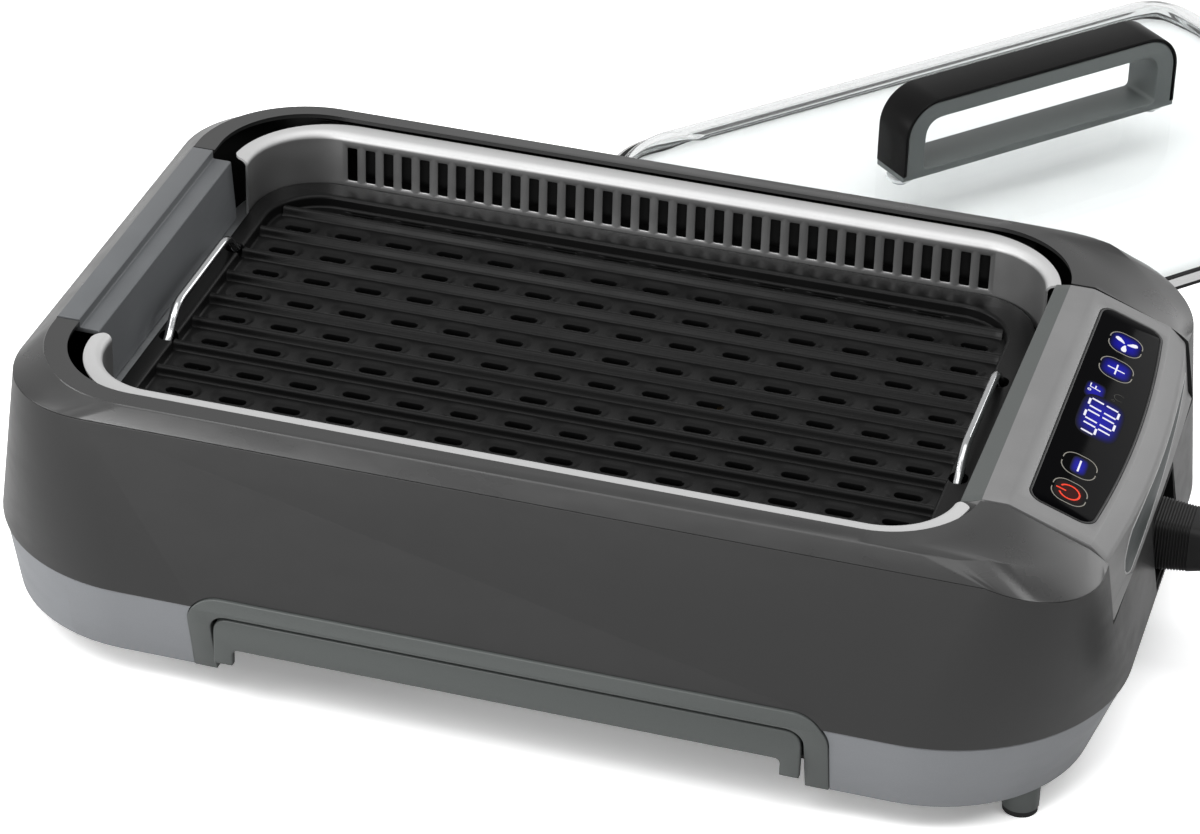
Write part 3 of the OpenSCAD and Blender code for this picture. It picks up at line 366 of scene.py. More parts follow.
class Shape:
    """Vertices and faces of a piece, in millimetres, while it is being made."""

    def __init__(self, place=None):
        self.place = place
        self.verts, self.faces, self.marks = [], [], []

    def add(self, verts, faces, mark=0):
        n = len(self.verts)
        self.verts += [tuple(self.place @ Vector(v)) if self.place else tuple(v) for v in verts]
        self.faces += [tuple(n + i for i in f) for f in faces]
        self.marks += [mark] * len(faces)
        return self

    def loft(self, rings, loop=False, caps=True, mark=0):
        """Skin through equal rings; loop joins the last ring to the first."""
        n, m = len(rings[0]), len(rings)
        faces = []
        for k in range(m if loop else m - 1):
            for i in range(n):
                j, up = (i + 1) % n, (k + 1) % m
                faces.append((k * n + i, k * n + j, up * n + j, up * n + i))
        if caps and not loop:
            faces += [tuple(range(n))[::-1], tuple(range((m - 1) * n, m * n))]
        return self.add([v for r in rings for v in r], faces, mark)

    def fill(self, outer, holes, lift, down=False):
        """Flat face inside outer with holes; lift turns a point of it into space."""
        loops = [[Vector((p[0], p[1], 0)) for p in loop] for loop in (outer, *holes)]
        flat = [lift(p[0], p[1]) for loop in (outer, *holes) for p in loop]
        return self.add(flat, [t[::-1] if down else t for t in tessellate_polygon(loops)])

    def slab(self, outer, holes, z0, z1, bevel, steps=2, lift=lambda x, y, z: (x, y, z)):
        """Plate with holes and rounded edges; lift sends (x, y, z) into space."""
        turn = quarter(bevel, steps)
        levels = [(g, z0 + d) for g, d in turn] + [(g, z1 - d) for g, d in turn[::-1]]
        for i, loop in enumerate((outer, *holes)):
            side = 1 if i == 0 else -1
            rings = [[lift(x, y, z) for x, y in inset(loop, side * g)] for g, z in levels]
            self.loft(rings if side > 0 else rings[::-1], caps=False)
        rim, gaps = inset(outer, bevel), [inset(h, -bevel) for h in holes]
        self.fill(rim, gaps, lambda x, y: lift(x, y, z1))
        return self.fill(rim, gaps, lambda x, y: lift(x, y, z0), True)

    def box(self, a, b):
        """Box with finely rounded edges."""
        return self.slab(oblong(a, b), (), a[2], b[2], 0.3)

    def prism(self, outline, z0, z1):
        """Outline drawn straight up from z0 to z1."""
        return self.loft([at(outline, z) for z in (z0, z1)])

    def block(self, a, b):
        """Plain box, for a cutter."""
        return self.prism(oblong(a, b), a[2], b[2])

    def tube(self, path, r, sides):
        """Round bar along a path of points."""
        rings, side = [], None
        for i, p in enumerate(path):
            t = (path[min(i + 1, len(path) - 1)] - path[max(i - 1, 0)]).normalized()
            if side is None:     # any direction that the path doesn't start along
                side = t.cross(Vector((0.3, 0.1, 1))).normalized()
            side = (side - t * side.dot(t)).normalized()
            up = t.cross(side)
            rings.append([tuple(p + u * side + v * up) for u, v in circle(r, sides)])
        return self.loft(rings)

    def mesh(self, name):
        mesh = bpy.data.meshes.new(name)
        mesh.from_pydata([Vector(v) * MM for v in self.verts], [], self.faces)
        mesh.polygons.foreach_set("material_index", self.marks)
        bm = bmesh.new()
        bm.from_mesh(mesh)
        bmesh.ops.remove_doubles(bm, verts=bm.verts, dist=1e-6)
        bmesh.ops.dissolve_degenerate(bm, edges=bm.edges, dist=1e-7)
        bmesh.ops.recalc_face_normals(bm, faces=bm.faces)
        bm.to_mesh(mesh)
        bm.free()
        return mesh


def linked(name, data):
    """New object in the scene."""
    obj = bpy.data.objects.new(name, data)
    bpy.context.scene.collection.objects.link(obj)
    return obj


def baked(obj):
    """Applies an object's modifiers to its mesh."""
    depsgraph = bpy.context.evaluated_depsgraph_get()
    mesh = bpy.data.meshes.new_from_object(obj.evaluated_get(depsgraph))
    obj.modifiers.clear()
    old, obj.data = obj.data, mesh
    bpy.data.meshes.remove(old)


def carve(obj, *cutters, keep=False):
    """Cuts the cutters out of obj, or keeps only what lies inside them."""
    for shape in cutters:
        tool = linked("cutter", shape.mesh("cutter"))
        mod = obj.modifiers.new("carve", "BOOLEAN")
        mod.operation = "INTERSECT" if keep else "DIFFERENCE"
        mod.solver = "EXACT"
        mod.object = tool
        baked(obj)
        bpy.data.objects.remove(tool)


def soften(obj, width, angle, steps):
    """Rounds the sharp edges of obj over a width in millimetres."""
    mod = obj.modifiers.new("soften", "BEVEL")
    mod.width, mod.segments, mod.limit_method = width * MM, steps, "ANGLE"
    mod.angle_limit = math.radians(angle)
    mod.use_clamp_overlap = True
    baked(obj)


def raw(name, shape):
    """New piece as it is carved, before it is settled."""
    return linked(name, shape.mesh(name))


def seat(obj, body, slot, *stands_for):
    """Lets a piece ride on its body and hides the nodes that it stands for; slot is not used."""
    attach(obj, body)
    if stands_for:
        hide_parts(*stands_for)


def settle(obj, body, slot, materials, *stands_for, crease=32):
    """Smooths a piece, gives it its materials and seats it on its body."""
    mesh = obj.data
    mesh.polygons.foreach_set("use_smooth", [True] * len(mesh.polygons))
    mesh.set_sharp_from_angle(angle=math.radians(crease))
    mesh.materials.clear()
    for name in materials.split():
        mesh.materials.append(MATERIALS[name])
    seat(obj, body, slot, *stands_for)
    return obj


def piece(name, shape, body, slot, materials, *stands_for, crease=32):
    return settle(raw(name, shape), body, slot, materials, *stands_for, crease=crease)


# ---- Materials ----

MATERIALS = {}
# these heights also mark where the painted shade that darkens the trim's wall ends
SATIN_FROM, SATIN_TO = 0.1445, 0.1475    # heights between which the trim's satin begins
BUMP = 0.0001                            # height of every surface grain, in metres

# colour, roughness, grain size, grain depth, mottling and specular level
PLASTICS = {
    "band_plastic": ("band", 0.36, 0.0005, 0.08, 0.06, 0.25),
    "rim_plastic": ("rim", 0.27, 0.0005, 0.06, 0.06, 0.38),
    "base_plastic": ("base", 0.45, 0.0006, 0.2, 0.08, 0.3),
    "frame_plastic": ("tray_frame", 0.42, 0.0006, 0.2, 0.08, 0.3),
    "cap_plastic": ("cap", 0.42, 0.0006, 0.2, 0.08, 0.3),
    "console_plastic": ("console", 0.4, 0.0006, 0.15, 0.06, 0.3),
    "handle_cover": ("handle_black", 0.32, 0.0006, 0.1, 0.1, 0.05),
    "clear_rubber": (0xE6E8E8, 0.3, 0.0009, 0.2, 0.04, 0.3),
    "handle_core": ("handle_grey", 0.45, 0.0006, 0.2, 0.08, 0.3),
    "inner_black": (0x0A0A0A, 0.7, 0.0008, 0.3, 0.2, 0.15),
    "pad_rubber": (0x0C0C0C, 0.75, 0.0009, 0.4, 0.2, 0.3),
    "cord_rubber": ("cord", 0.45, 0.0005, 0.15, 0.15, 0.18),
    "lens_plastic": (0x3C4040, 0.4, 0.001, 0.01, 0.03, 0.2),
    "lens_rim": (0x9A9A9A, 0.35, 0.0006, 0.1, 0.05, 0.3),
    "plate_coating": ("plate", 0.36, 0.0011, 0.3, 0.25, 0.1),
    "board_green": (0x1F5130, 0.5, 0.0012, 0.3, 0.3, 0.3),
    "panel_glass": (0x020203, 0.08, 0.002, 0.0, 0.0, 0.01),
    "panel_edge": (0x1A1A1A, 0.3, 0.0008, 0.05, 0.05, 0.15),
}
# colour, roughness, strength of the streaks and their depth
METALS = {
    "wire_steel": (0xA2A3A4, 0.16, 0.0, 0.05),
    "rim_chrome": (0xC8C8C8, 0.12, 0.0, 0.05),
    "sheet_steel": (0xB4B6B8, 0.34, 0.12, 0.2),
    "heater_steel": (0x5C524C, 0.45, 0.2, 0.2),
    "brass": (0xC8A25A, 0.28, 0.05, 0.05),
    "screw_steel": (0x9C9EA0, 0.3, 0.1, 0.05),
}
# colour and strength of light
PRINTS = {
    "mark_white": (0xF4F4FF, 0.9),
    "mark_line": (0xB8B4A8, 0.45),
    "mark_red": (0xFF3A10, 0.9),
    "mark_dim": (0x2C2C22, 0.3),
}
CAD_FINISHES = {
    "inner_black": "bottom_cover smoke_duct plate_switch fan_scroll inlet_housing display_module "
                   "drip_tray",
    "screw_steel": "base_screws fan_motor handle_screws",
    "sheet_steel": "heat_shield_tub element_brackets fan_impeller",
    "brass": "temperature_probe inlet_pins",
    "board_green": "power_board control_board",
    "pad_rubber": "foot_pads",
    "heater_steel": "heating_element",
    "clear_rubber": "handle_washers",
    "frame_plastic": "legs",
}


class Nodes:
    """Short way to place and join shader nodes."""

    def __init__(self, tree):
        self.tree = tree

    def join(self, value, socket):
        """Links a node's output to a socket, or sets a number, vector or colour on it."""
        if isinstance(value, bpy.types.NodeSocket):
            self.tree.links.new(value, socket)
        else:
            socket.default_value = (*value[:3], 1) if socket.type == "RGBA" else value

    def new(self, kind, inputs=None, **settings):
        node = self.tree.nodes.new(kind)
        for key, value in settings.items():
            setattr(node, key, value)
        for key, value in (inputs or {}).items():
            self.join(value, node.inputs[key])
        return node

    def math(self, operation, a, b):
        return self.new("ShaderNodeMath", {0: a, 1: b}, operation=operation).outputs[0]

    def between(self, value, a, b, low=0.0, high=1.0):
        return self.new("ShaderNodeMapRange", {"Value": value, "From Min": a, "From Max": b,
                                               "To Min": low, "To Max": high}).outputs["Result"]

    def mix(self, factor, a, b):
        return self.new("ShaderNodeMix", {6: a, 7: b, "Factor": factor}, data_type="RGBA").outputs[2]

    def noise(self, vector, scale, detail=2.0, rough=0.5):
        return self.new("ShaderNodeTexNoise", {"Vector": vector, "Scale": scale, "Detail": detail,
                                               "Roughness": rough}).outputs["Fac"]

    def stretched(self, vector, scale):
        return self.new("ShaderNodeMapping", {"Vector": vector, "Scale": scale}).outputs["Vector"]

    def bump(self, height, strength):
        return self.new("ShaderNodeBump", {"Height": height, "Strength": strength,
                                           "Distance": BUMP}).outputs["Normal"]

    def place(self):
        return self.new("ShaderNodeTexCoord").outputs["Object"]

    def height(self):
        return self.new("ShaderNodeSeparateXYZ", {0: self.place()}).outputs["Z"]

    def group(self, name, **values):
        node = self.new("ShaderNodeGroup", node_tree=bpy.data.node_groups[name])
        for key, value in values.items():
            node.inputs[key.replace("_", " ")].default_value = value
        return node.outputs


def group(name, inputs, *outputs):
    """New shader group with number inputs {name: default} and number outputs."""
    tree = bpy.data.node_groups.new(name, "ShaderNodeTree")
    for key, value in inputs.items():
        socket = tree.interface.new_socket(key, in_out="INPUT", socket_type="NodeSocketFloat")
        socket.default_value = value
    for key in outputs:
        tree.interface.new_socket(key, in_out="OUTPUT", socket_type="NodeSocketFloat")
    n = Nodes(tree)
    return n, n.new("NodeGroupInput").outputs, n.new("NodeGroupOutput").inputs


def make_groups():
    """Shared effects: moulded grain, handling marks and brushing."""
    n, given, out = group("moulded_grain", {"Grain Size": 0.0006}, "Height", "Speck")
    scale, where = n.math("DIVIDE", 1.0, given["Grain Size"]), n.place()
    cells = n.new("ShaderNodeTexVoronoi", {"Vector": where, "Scale": scale}).outputs["Distance"]
    fine = n.noise(where, n.math("MULTIPLY", scale, 1.7))
    n.join(n.math("ADD", n.math("MULTIPLY", cells, 0.6), n.math("MULTIPLY", fine, 0.5)), out["Height"])
    n.join(n.between(fine, 0.35, 0.65), out["Speck"])

    n, given, out = group("handling", {"Patch Size": 0.06, "Amount": 1.0}, "Smudge", "Dust")
    scale, where = n.math("DIVIDE", 1.0, given["Patch Size"]), n.place()
    broad = n.noise(where, scale, 4.0, 0.6)
    streak = n.noise(n.stretched(where, (1.0, 1.0, 3.0)), n.math("MULTIPLY", scale, 3.1), 3.0)
    smudge = n.between(n.math("MULTIPLY", broad, streak), 0.18, 0.36)
    n.join(n.math("MULTIPLY", smudge, given["Amount"]), out["Smudge"])
    up = n.new("ShaderNodeSeparateXYZ", {0: n.new("ShaderNodeNewGeometry").outputs["Normal"]})
    dust = n.math("MULTIPLY", n.between(up.outputs["Z"], 0.6, 1.0), smudge)
    n.join(n.math("MULTIPLY", dust, given["Amount"]), out["Dust"])

    n, given, out = group("brushed", {"Fineness": 1.0}, "Height", "Streak")
    lines = n.noise(n.stretched(n.place(), (30.0, 900.0, 2600.0)), given["Fineness"], 3.0, 0.7)
    n.join(lines, out["Height"])
    n.join(n.between(lines, 0.3, 0.7), out["Streak"])


def material(name):
    """New material, as its nodes and a function that sets its shader's inputs."""
    mat = bpy.data.materials.new(name)
    mat.use_nodes = True
    MATERIALS[name] = mat
    n = Nodes(mat.node_tree)
    shader = mat.node_tree.nodes["Principled BSDF"]

    def shade(**values):
        for key, value in values.items():
            n.join(value, shader.inputs[key.replace("_", " ")])

    return n, shade


def tinted(c, k):
    return tuple(min(1.0, v * k) for v in c[:3])


def moulded(name, c, rough, grain, depth, shift, spec):
    """Moulded plastic: fine grain, faint handling marks and uneven sheen."""
    n, shade = material(name)
    grains = n.group("moulded_grain", Grain_Size=grain)
    marks = n.group("handling", Patch_Size=0.07, Amount=0.6)
    mottled = n.mix(grains["Speck"], tinted(c, 1 - shift / 2), tinted(c, 1 + shift / 2))
    shade(Base_Color=n.mix(marks["Dust"], mottled, tinted(c, 1.18)),
          Roughness=n.between(marks["Smudge"], 0.0, 1.0, rough, rough + 0.1),
          Specular_IOR_Level=spec, Normal=n.bump(grains["Height"], depth))


def metal(name, c, rough, streaks, depth):
    """Bare metal with a little brushing and uneven polish."""
    n, shade = material(name)
    lines = n.group("brushed", Fineness=1.0)
    marks = n.group("handling", Patch_Size=0.05, Amount=0.5)
    shade(Base_Color=n.mix(lines["Streak"], tinted(c, 1 - streaks), c), Metallic=1.0,
          Roughness=n.between(marks["Smudge"], 0.0, 1.0, rough, rough + 0.08),
          Normal=n.bump(lines["Height"], depth))


def silver(name, c):
    """Satin on the flange, bare down the wall, where its colour is darkened as painted shade."""
    n, shade = material(name)
    grains = n.group("moulded_grain", Grain_Size=0.0003)
    marks = n.group("handling", Patch_Size=0.08, Amount=0.6)
    satin_and_painted_shade = n.between(n.height(), SATIN_FROM, SATIN_TO)
    # the lower, darker tones down the wall are painted shade; the satin flange and bare wall finishes
    # are real
    dark = n.mix(satin_and_painted_shade, tinted(c, 0.56), tinted(c, 0.9))
    pale = n.mix(satin_and_painted_shade, tinted(c, 0.62), tinted(c, 0.95))
    uneven = n.between(marks["Smudge"], 0.0, 1.0, 0.0, 0.06)
    shade(Base_Color=n.mix(grains["Speck"], dark, pale),
          Metallic=n.between(satin_and_painted_shade, 0.0, 1.0, 0.92, 0.5),
          Roughness=n.math("ADD", uneven, n.between(satin_and_painted_shade, 0.0, 1.0, 0.38, 0.6)),
          Normal=n.bump(grains["Height"], 0.03))


def glass(name):
    """Thin clear glass, with painted shade that makes it a little greyer down by its steel band."""
    n, shade = material(name)
    marks = n.group("handling", Patch_Size=0.09, Amount=0.5)
    # the grey tint low down, by the steel band, is painted shade
    clear_of_painted_shade = n.between(n.height(), 0.0085, 0.011)
    clear = n.mix(marks["Smudge"], ink(0xF6F8F8), ink(0xF0F3F3))
    shade(Base_Color=n.mix(clear_of_painted_shade, ink(0xE0E2E2), clear), IOR=1.12, Transmission_Weight=1.0,
          Roughness=n.between(marks["Smudge"], 0.0, 1.0, 0.01, 0.05))


def glow(name, c):
    """Light that fades from the middle of its patch, as the mesh's own glow value says."""
    n, shade = material(name)
    fade = n.new("ShaderNodeAttribute", attribute_name="glow").outputs["Fac"]
    speck = n.noise(n.place(), 900.0)
    level = n.math("MULTIPLY", fade, n.between(speck, 0.3, 0.7, 0.85, 1.0))
    shade(Base_Color=ink(0x020203), Roughness=0.1, Specular_IOR_Level=0.01,
          Emission_Color=n.mix(level, (0, 0, 0), c), Emission_Strength=1.0)


def printed(name, c, strength):
    """Printed or lit mark with a little unevenness."""
    n, shade = material(name)
    speck = n.noise(n.place(), 1500.0)
    shade(Base_Color=tinted(c, 0.1), Roughness=0.35, Specular_IOR_Level=0.1,
          Emission_Color=n.mix(n.between(speck, 0.3, 0.7), tinted(c, 0.9), c),
          Emission_Strength=strength)


def make_materials(c):
    make_groups()
    for name, (tone, *look) in PLASTICS.items():
        moulded(name, getattr(c, tone) if isinstance(tone, str) else ink(tone), *look)
    for name, (tone, *look) in METALS.items():
        metal(name, ink(tone), *look)
    for name, (tone, strength) in PRINTS.items():
        printed(name, ink(tone), strength)
    silver("silver_paint", c.silver)
    glass("lid_glass")
    glow("glow_blue", c.glow)
    glow("glow_red", ink(0x3A0400))


# ---- Camera and cord ----

CAMERA_AXES = ((0.95750644, 0.28730496, 0.02524449), (-0.1739214, 0.50536656, 0.84519583),
               (0.23007123, -0.813671, 0.53386022))
CAMERA_PLACE = (0.4811, -1.7141, 1.2173)
CAMERA_LENS = 129.891

CORD_ROUTE = ((328.9, 12, 77), (344, 12, 76), (359, 12.5, 70), (371, 13, 59), (379, 13.5, 45),
              (386, 14, 30), (395, 14, 17), (407, 12, 8), (418, 6, 4.2), (426, -4, 3.7),
              (430.5, -17, 3.7), (431.6, -32, 3.7))
PLUG_ROUTE = ((352.4, -32, 29.3), (352.5, -17, 27.5), (352.8, -2, 22.5), (353.6, 12, 17),
              (354.8, 26, 13.5), (356, 38, 12.6))
COIL = (392, -32, 39.6)     # centre x, y and radius
COIL_TURNS, COIL_RISE = 3.5, 7.3
COIL_STEPS = 20             # points to a turn
PIN_SPREAD = 6.35           # half the distance between the plug's flat pins


def place_camera():
    cam = bpy.data.cameras.new("view")
    cam.lens, cam.sensor_width, cam.clip_start, cam.clip_end = CAMERA_LENS, 36, 0.05, 20
    obj = linked("view", cam)
    obj.matrix_world = Matrix((*zip(*CAMERA_AXES, CAMERA_PLACE), (0, 0, 0, 1)))
    bpy.context.scene.camera = obj


def cord_points():
    """The cord's centre line from the connector through its coil to the plug."""
    x, y, r = COIL
    coil = []
    for k in range(1, int(COIL_TURNS * COIL_STEPS)):
        dx, dy = polar(r, -360 * k / COIL_STEPS)
        coil.append((x + dx, y + dy, CORD_ROUTE[-1][2] + COIL_RISE * k / COIL_STEPS))
    return [*CORD_ROUTE, *coil, *PLUG_ROUTE]


def centred(w, h, r):
    """Section of a moulded grip, w wide and h high with corners of radius r."""
    return plan(-w / 2, w / 2, -h / 2, h / 2, r, n=6)


def connector(m):
    """Cord connector with its nose, ridged grip and ribbed relief."""
    y, z = m.inlet
    nose, back = m.inlet_back + 3, m.xr - 13
    s = Shape()

    def stack(start, sections):
        """Solid through sections of (distance from start, width, height, corner radius)."""
        s.loft([[(start + x, y + p, z + q) for p, q in centred(w, h, r)] for x, w, h, r in sections])

    stack(nose, [(0, 20.8, 18.8, 2.6), (0.6, 22, 20, 3), (back + 1 - nose, 22, 20, 3)])
    grip = [(3 + k * 1.4 + d, 29.8 - k * 0.2 - g, 27.8 - k * 0.2 - g, 5)
            for k in range(15) for d, g in ((0, 0), (0.3, 0.7), (0.7, 0.7), (1.0, 0))]
    stack(back, [(0, 28.6, 26.6, 4.6), (0.7, 30, 28, 5), *grip, (26, 26.6, 24.6, 5.6),
                 (36, 24, 22, 6), (40, 21, 19.6, 6.2), (44, 14.2, 14.2, 6.8)])
    ribs = [(43.5, 6.8)]
    for k in range(7):
        ribs += [(44 + k * 3 + d, 6.6 - k * 0.3 - g)
                 for d, g in ((0, 0), (1.8, 0.1), (2.1, 1.1), (2.8, 1.1))]
    ribs.append((65, 4.6))
    return s.loft([[(back + x, y + u, z + v) for u, v in circle(r, 24)] for x, r in ribs])


def plug():
    """Mains plug with its ribbed relief and grip, and its three pins."""
    x, y, z = PLUG_ROUTE[-1]
    y += 0.5
    sections = [(0, 9.2, 9.2, 4.4)]
    for k in range(4):
        w = 9.6 + k * 1.6
        sections += [(d + 3.4 * k, w + g, w + g, (w + g) / 2.1)
                     for d, g in ((0.4, 0), (2.2, 0.6), (2.5, -1.4), (3.2, -1.4))]
    sections += [(14.5, 17, 17, 5), (16, 18.6, 18.4, 5.2), (22, 21, 20, 5.4), (27, 22, 20.6, 5.4),
                 (31, 26, 24, 6), (43.4, 26, 24, 6), (44, 25, 23, 5.6)]
    grip = Shape().loft([[(x - p, y + d, z + q) for p, q in centred(w, h, r)]
                         for d, w, h, r in sections])
    pins = Shape()
    for mid in (x - PIN_SPREAD, x + PIN_SPREAD):
        pins.box((mid - 0.8, y + 43, z - 1), (mid + 0.8, y + 61, z + 5.4))
    pins.loft([[(x + u, y + d, z - 6 + v) for u, v in circle(r, 20)]
               for d, r in ((43, 2.4), (61, 2.4), (63, 1.2))])
    return grip, pins


def coil_tie(half):
    """Flat strap round the coil's far side."""
    x, y, r = COIL
    x, y = x - half * 2.1, y + r
    path = bend([(x, y + 4.6, 0.7), (x, y + 4.6, 32.6), (x, y - 4.6, 32.6), (x, y - 4.6, 0.7)], 4, 4)
    across, rings = Vector((1, 0, 0)), []
    for i, p in enumerate(path):
        out = (path[(i + 1) % len(path)] - path[i - 1]).normalized().cross(across)
        rings.append([tuple(p + u * across + out * v) for u, v in plan(-2, 2, -0.35, 0.35, 0.3, n=2)])
    return Shape().loft(rings, loop=True)


def make_cords(m):
    black = ("cord_set", "cord_black", "cord_rubber")
    grip, pins = plug()
    body = piece("cord_connector_body", connector(m), *black, "cord_connector")
    end = piece("plug_body", grip, *black, "mains_plug")
    prongs = piece("plug_pins", pins, "cord_set", "brass_parts", "brass")
    half = m.cord_d / 2
    tie = piece("cord_tie", coil_tie(half), *black)
    data = bpy.data.curves.new("power_cord", "CURVE")
    data.dimensions, data.resolution_u = "3D", 6
    data.bevel_depth, data.bevel_resolution, data.use_fill_caps = half * MM, 4, True
    line = data.splines.new("NURBS")
    pts = cord_points()
    line.points.add(len(pts) - 1)
    for target, p in zip(line.points, pts):
        target.co = (*(Vector(p) * MM), 1)
    line.order_u, line.use_endpoint_u = 4, True
    lead = linked("power_cord_lead", data)
    data.materials.append(MATERIALS["cord_rubber"])
    seat(lead, "cord_set", "cord_black", "power_cord", "cord_coil")


# ---- Base, tray and outer shells ----

FRAME_LIP = 0.9      # rounding of the tray frame and its front
CONSOLE_JOINT = 2.0  # gap between the shells and the console's front end
BASE_GAP = 0.3       # clearance of the base round the tray frame
BAND_GAP = 0.4       # clearance of the band round the tray frame
RAIL = 2.4           # thickness of the walls inside the base
POST = 5             # radius of the posts inside the base


def make_base(m):
    """Base wall with its deck, frame of the tray bay, and the tray's front."""
    wall = raw("base_wall", Shape().loft([m.base_ring(*ring) for ring in (
        (0, -0.5), (0, 0, 0.5), (0.985,), (1, -0.5), (1, -m.wall), (0, -m.wall))], loop=True))
    carve(wall, m.bay_cut(BASE_GAP))
    settle(wall, "body", "base_plastic", "base_plastic")
    deck = raw("deck", Shape().slab(m.band_foot(-2.6)[::2], (), m.deck, m.seam - 0.05, 0.3, 1))
    gap = Shape().block((-m.bay + 6, 4 - m.zy, m.deck - 1), (m.bay - 6, m.zy - 4, m.seam + 1))
    vent = Shape().block((m.xr - 56, 51, m.deck - 1), (m.xr - 34, 66, m.seam + 1))
    carve(deck, gap, vent, m.bay_cut(BASE_GAP))
    settle(deck, "body", "base_plastic", "inner_black")

    # walls of the tray bay, the ledges that the tray slides on, and the posts of the bottom cover
    rails, b = Shape(), m.bay + 1
    front, rear, low, high = 14 - m.yh, m.yh - 32, m.base + 1, m.deck - 0.2
    for side in (-1, 1):
        x0, x1 = sorted((side * b, side * (b + RAIL)))
        rails.box((x0, front, low), (x1, rear + RAIL, high))
        x0, x1 = sorted((side * (b - 9), side * (b - 0.1)))
        rails.box((x0, front + 8, m.tray_z - 2.7), (x1, rear, m.tray_z - 0.3))
    rails.box((-b, rear, low), (b, rear + RAIL, high))
    for x, y in ((m.xl + 76.5, 110), (m.xl + 76.5, -110), (-60, m.yh - 19), (60, m.yh - 19),
                 (m.xr - 76.5, -112), (m.xr - 33.5, 35)):
        rails.prism([(x + u, y + v) for u, v in circle(POST, 20)], m.base + 2.6, m.deck - 0.4)
    piece("base_rails", rails, "body", "base_plastic", "inner_black", "base_shell")

    outer = arch_points(m.frame_x, m.frame_top, FRAME_CORNER, m.base - 30)
    inner = arch_points(m.bay, m.deck - 0.05, 9, m.base - 30)
    front = raw("tray_bay_frame", Shape().slab(outer, [inner], 0, 17, FRAME_LIP, 3,
                                               lift=lambda x, z, d: (x, -m.yh - 2 + d, z)))
    seam = m.base_ring(1, 1.5)
    carve(front, Shape().loft([m.base_ring(0, 0.5), seam, at(seam, m.frame_top + 1)]), keep=True)
    soften(front, 0.7, 35, 3)
    settle(front, "body", "base_plastic", "frame_plastic", "tray_frame")

    w, low, high = m.bay - 1.2, m.tray_z, m.deck - 2.8
    edge = [(-w, low), (9.5 - w, low), (9.5 - w, low + 9), (w - 9.5, low + 9), (w - 9.5, low), (w, low),
            (w, high), (-w, high)]
    face = Shape().slab(fillet(edge, [0.8, 0.8, 3, 3, 0.8, 0.8, 8, 8], 6), (), 0, 4, FRAME_LIP, 3,
                        lift=lambda x, z, d: (x, 2.6 - m.yh + d, z))
    piece("tray_face", face, "tray", "base_plastic", "frame_plastic", "tray_front")


def make_shells(m):
    """Dark band, rim and left end cap."""
    def foot(g, d=0):
        return at(m.band_foot(-g), m.seam + 0.5 + d)

    rings = [foot(g, d) for g, d in quarter(0.6, 3)]
    rings += [m.band_head(-g, -d) for g, d in quarter(0.25, 3)[::-1]]
    band = raw("band_wall", Shape().loft(rings + [m.band_head(-m.wall), foot(m.wall)], loop=True))
    z0, z1 = m.seam + 2.5, m.con_low - 2.5
    inlet = [(-12, z0), (45, z0), (45, z1), (-7, z1), (-12, z1 - 5)]
    joint, past = -m.con_h - CONSOLE_JOINT, m.xr + 9
    carve(band, m.bay_cut(BAND_GAP),
          Shape().block((m.con_top - 20, joint, m.con_low - 0.3), (past, m.con_h + 0.6, m.top)),
          Shape().loft([[(x, y, z) for y, z in inlet] for x in (m.xr - 30, past)]))
    settle(band, "body", "band_plastic", "band_plastic", "outer_band")

    head, edge, flat = m.band_head(0, 0.3), m.rim_edge(0, -0.6), at(m.ring_out(), m.top)
    inner = [at(m.ring_in(g), m.top - d)
             for g, d in ((-0.5, 0), (-0.15, 0.15), (0, 0.5), (0, 2.4), (2.2, 2.4))]
    rings = [m.band_head(-0.2, 0.3), part_way(head, edge, 0.03), part_way(head, edge, 0.97),
             part_way(edge, flat, 0.5), flat, *inner, m.rim_edge(-2.6, -3), m.band_head(-m.wall, 0.3)]
    rim = raw("rim_ring", Shape().loft(rings, loop=True))
    carve(rim, Shape().block((m.con_top - 60, joint, 0), (past, m.con_h + 0.9, m.top + 1)),
          Shape().block((m.rim_x0 + 0.2, -m.cap_h - 1.2, 0), (-100, m.cap_h + 1.2, m.top + 1)))
    settle(rim, "body", "rim_plastic", "rim_plastic", "top_rim")

    # corners of the left cap's section with their radii, from its lip down to the plate and back
    x0, step, x1 = m.rim_x0 + 0.4, m.rim_x0 + m.rim_w - 0.4, m.wx0 - 7.9
    high, ledge, low, under = m.top + 0.4, m.top - 2.4, m.top - 4.3, m.tub_top + 0.2
    corners = {(x0, high): 0.6, (x0, ledge): 0.3, (step - 2.4, ledge): 0.3, (step - 2.4, low - 2.4): 0.3,
               (x1 - 2, low - 2.4): 0.3, (x1 - 0.2, under): 0.3, (x1 + 2.3, under): 0.3,
               (x1 + 2.3, m.plate): 0.5, (x1, low): 1.2, (step, low): 0.8, (step, high): 0.7}
    section = fillet(list(corners), list(corners.values()))
    cap = Shape().slab(anticlockwise(section), (), -m.cap_h, m.cap_h, 0.25,
                       lift=lambda x, z, d: (x, d, z))
    piece("left_cap", cap, "body", "rim_plastic", "cap_plastic", "left_end_cap")


# ---- Silver trim ----

FLANGE_X, FLANGE_Y = 8.1, 10.8    # how far the flange reaches past the wall
FLANGE_END = 6.5                  # rounding of the flange's ends
FRONT_UP, FRONT_IN = 0.8, 2.2     # how the front half stands higher and further in
SLOT_LIP = 0.35                   # rounding of a smoke slot's rim


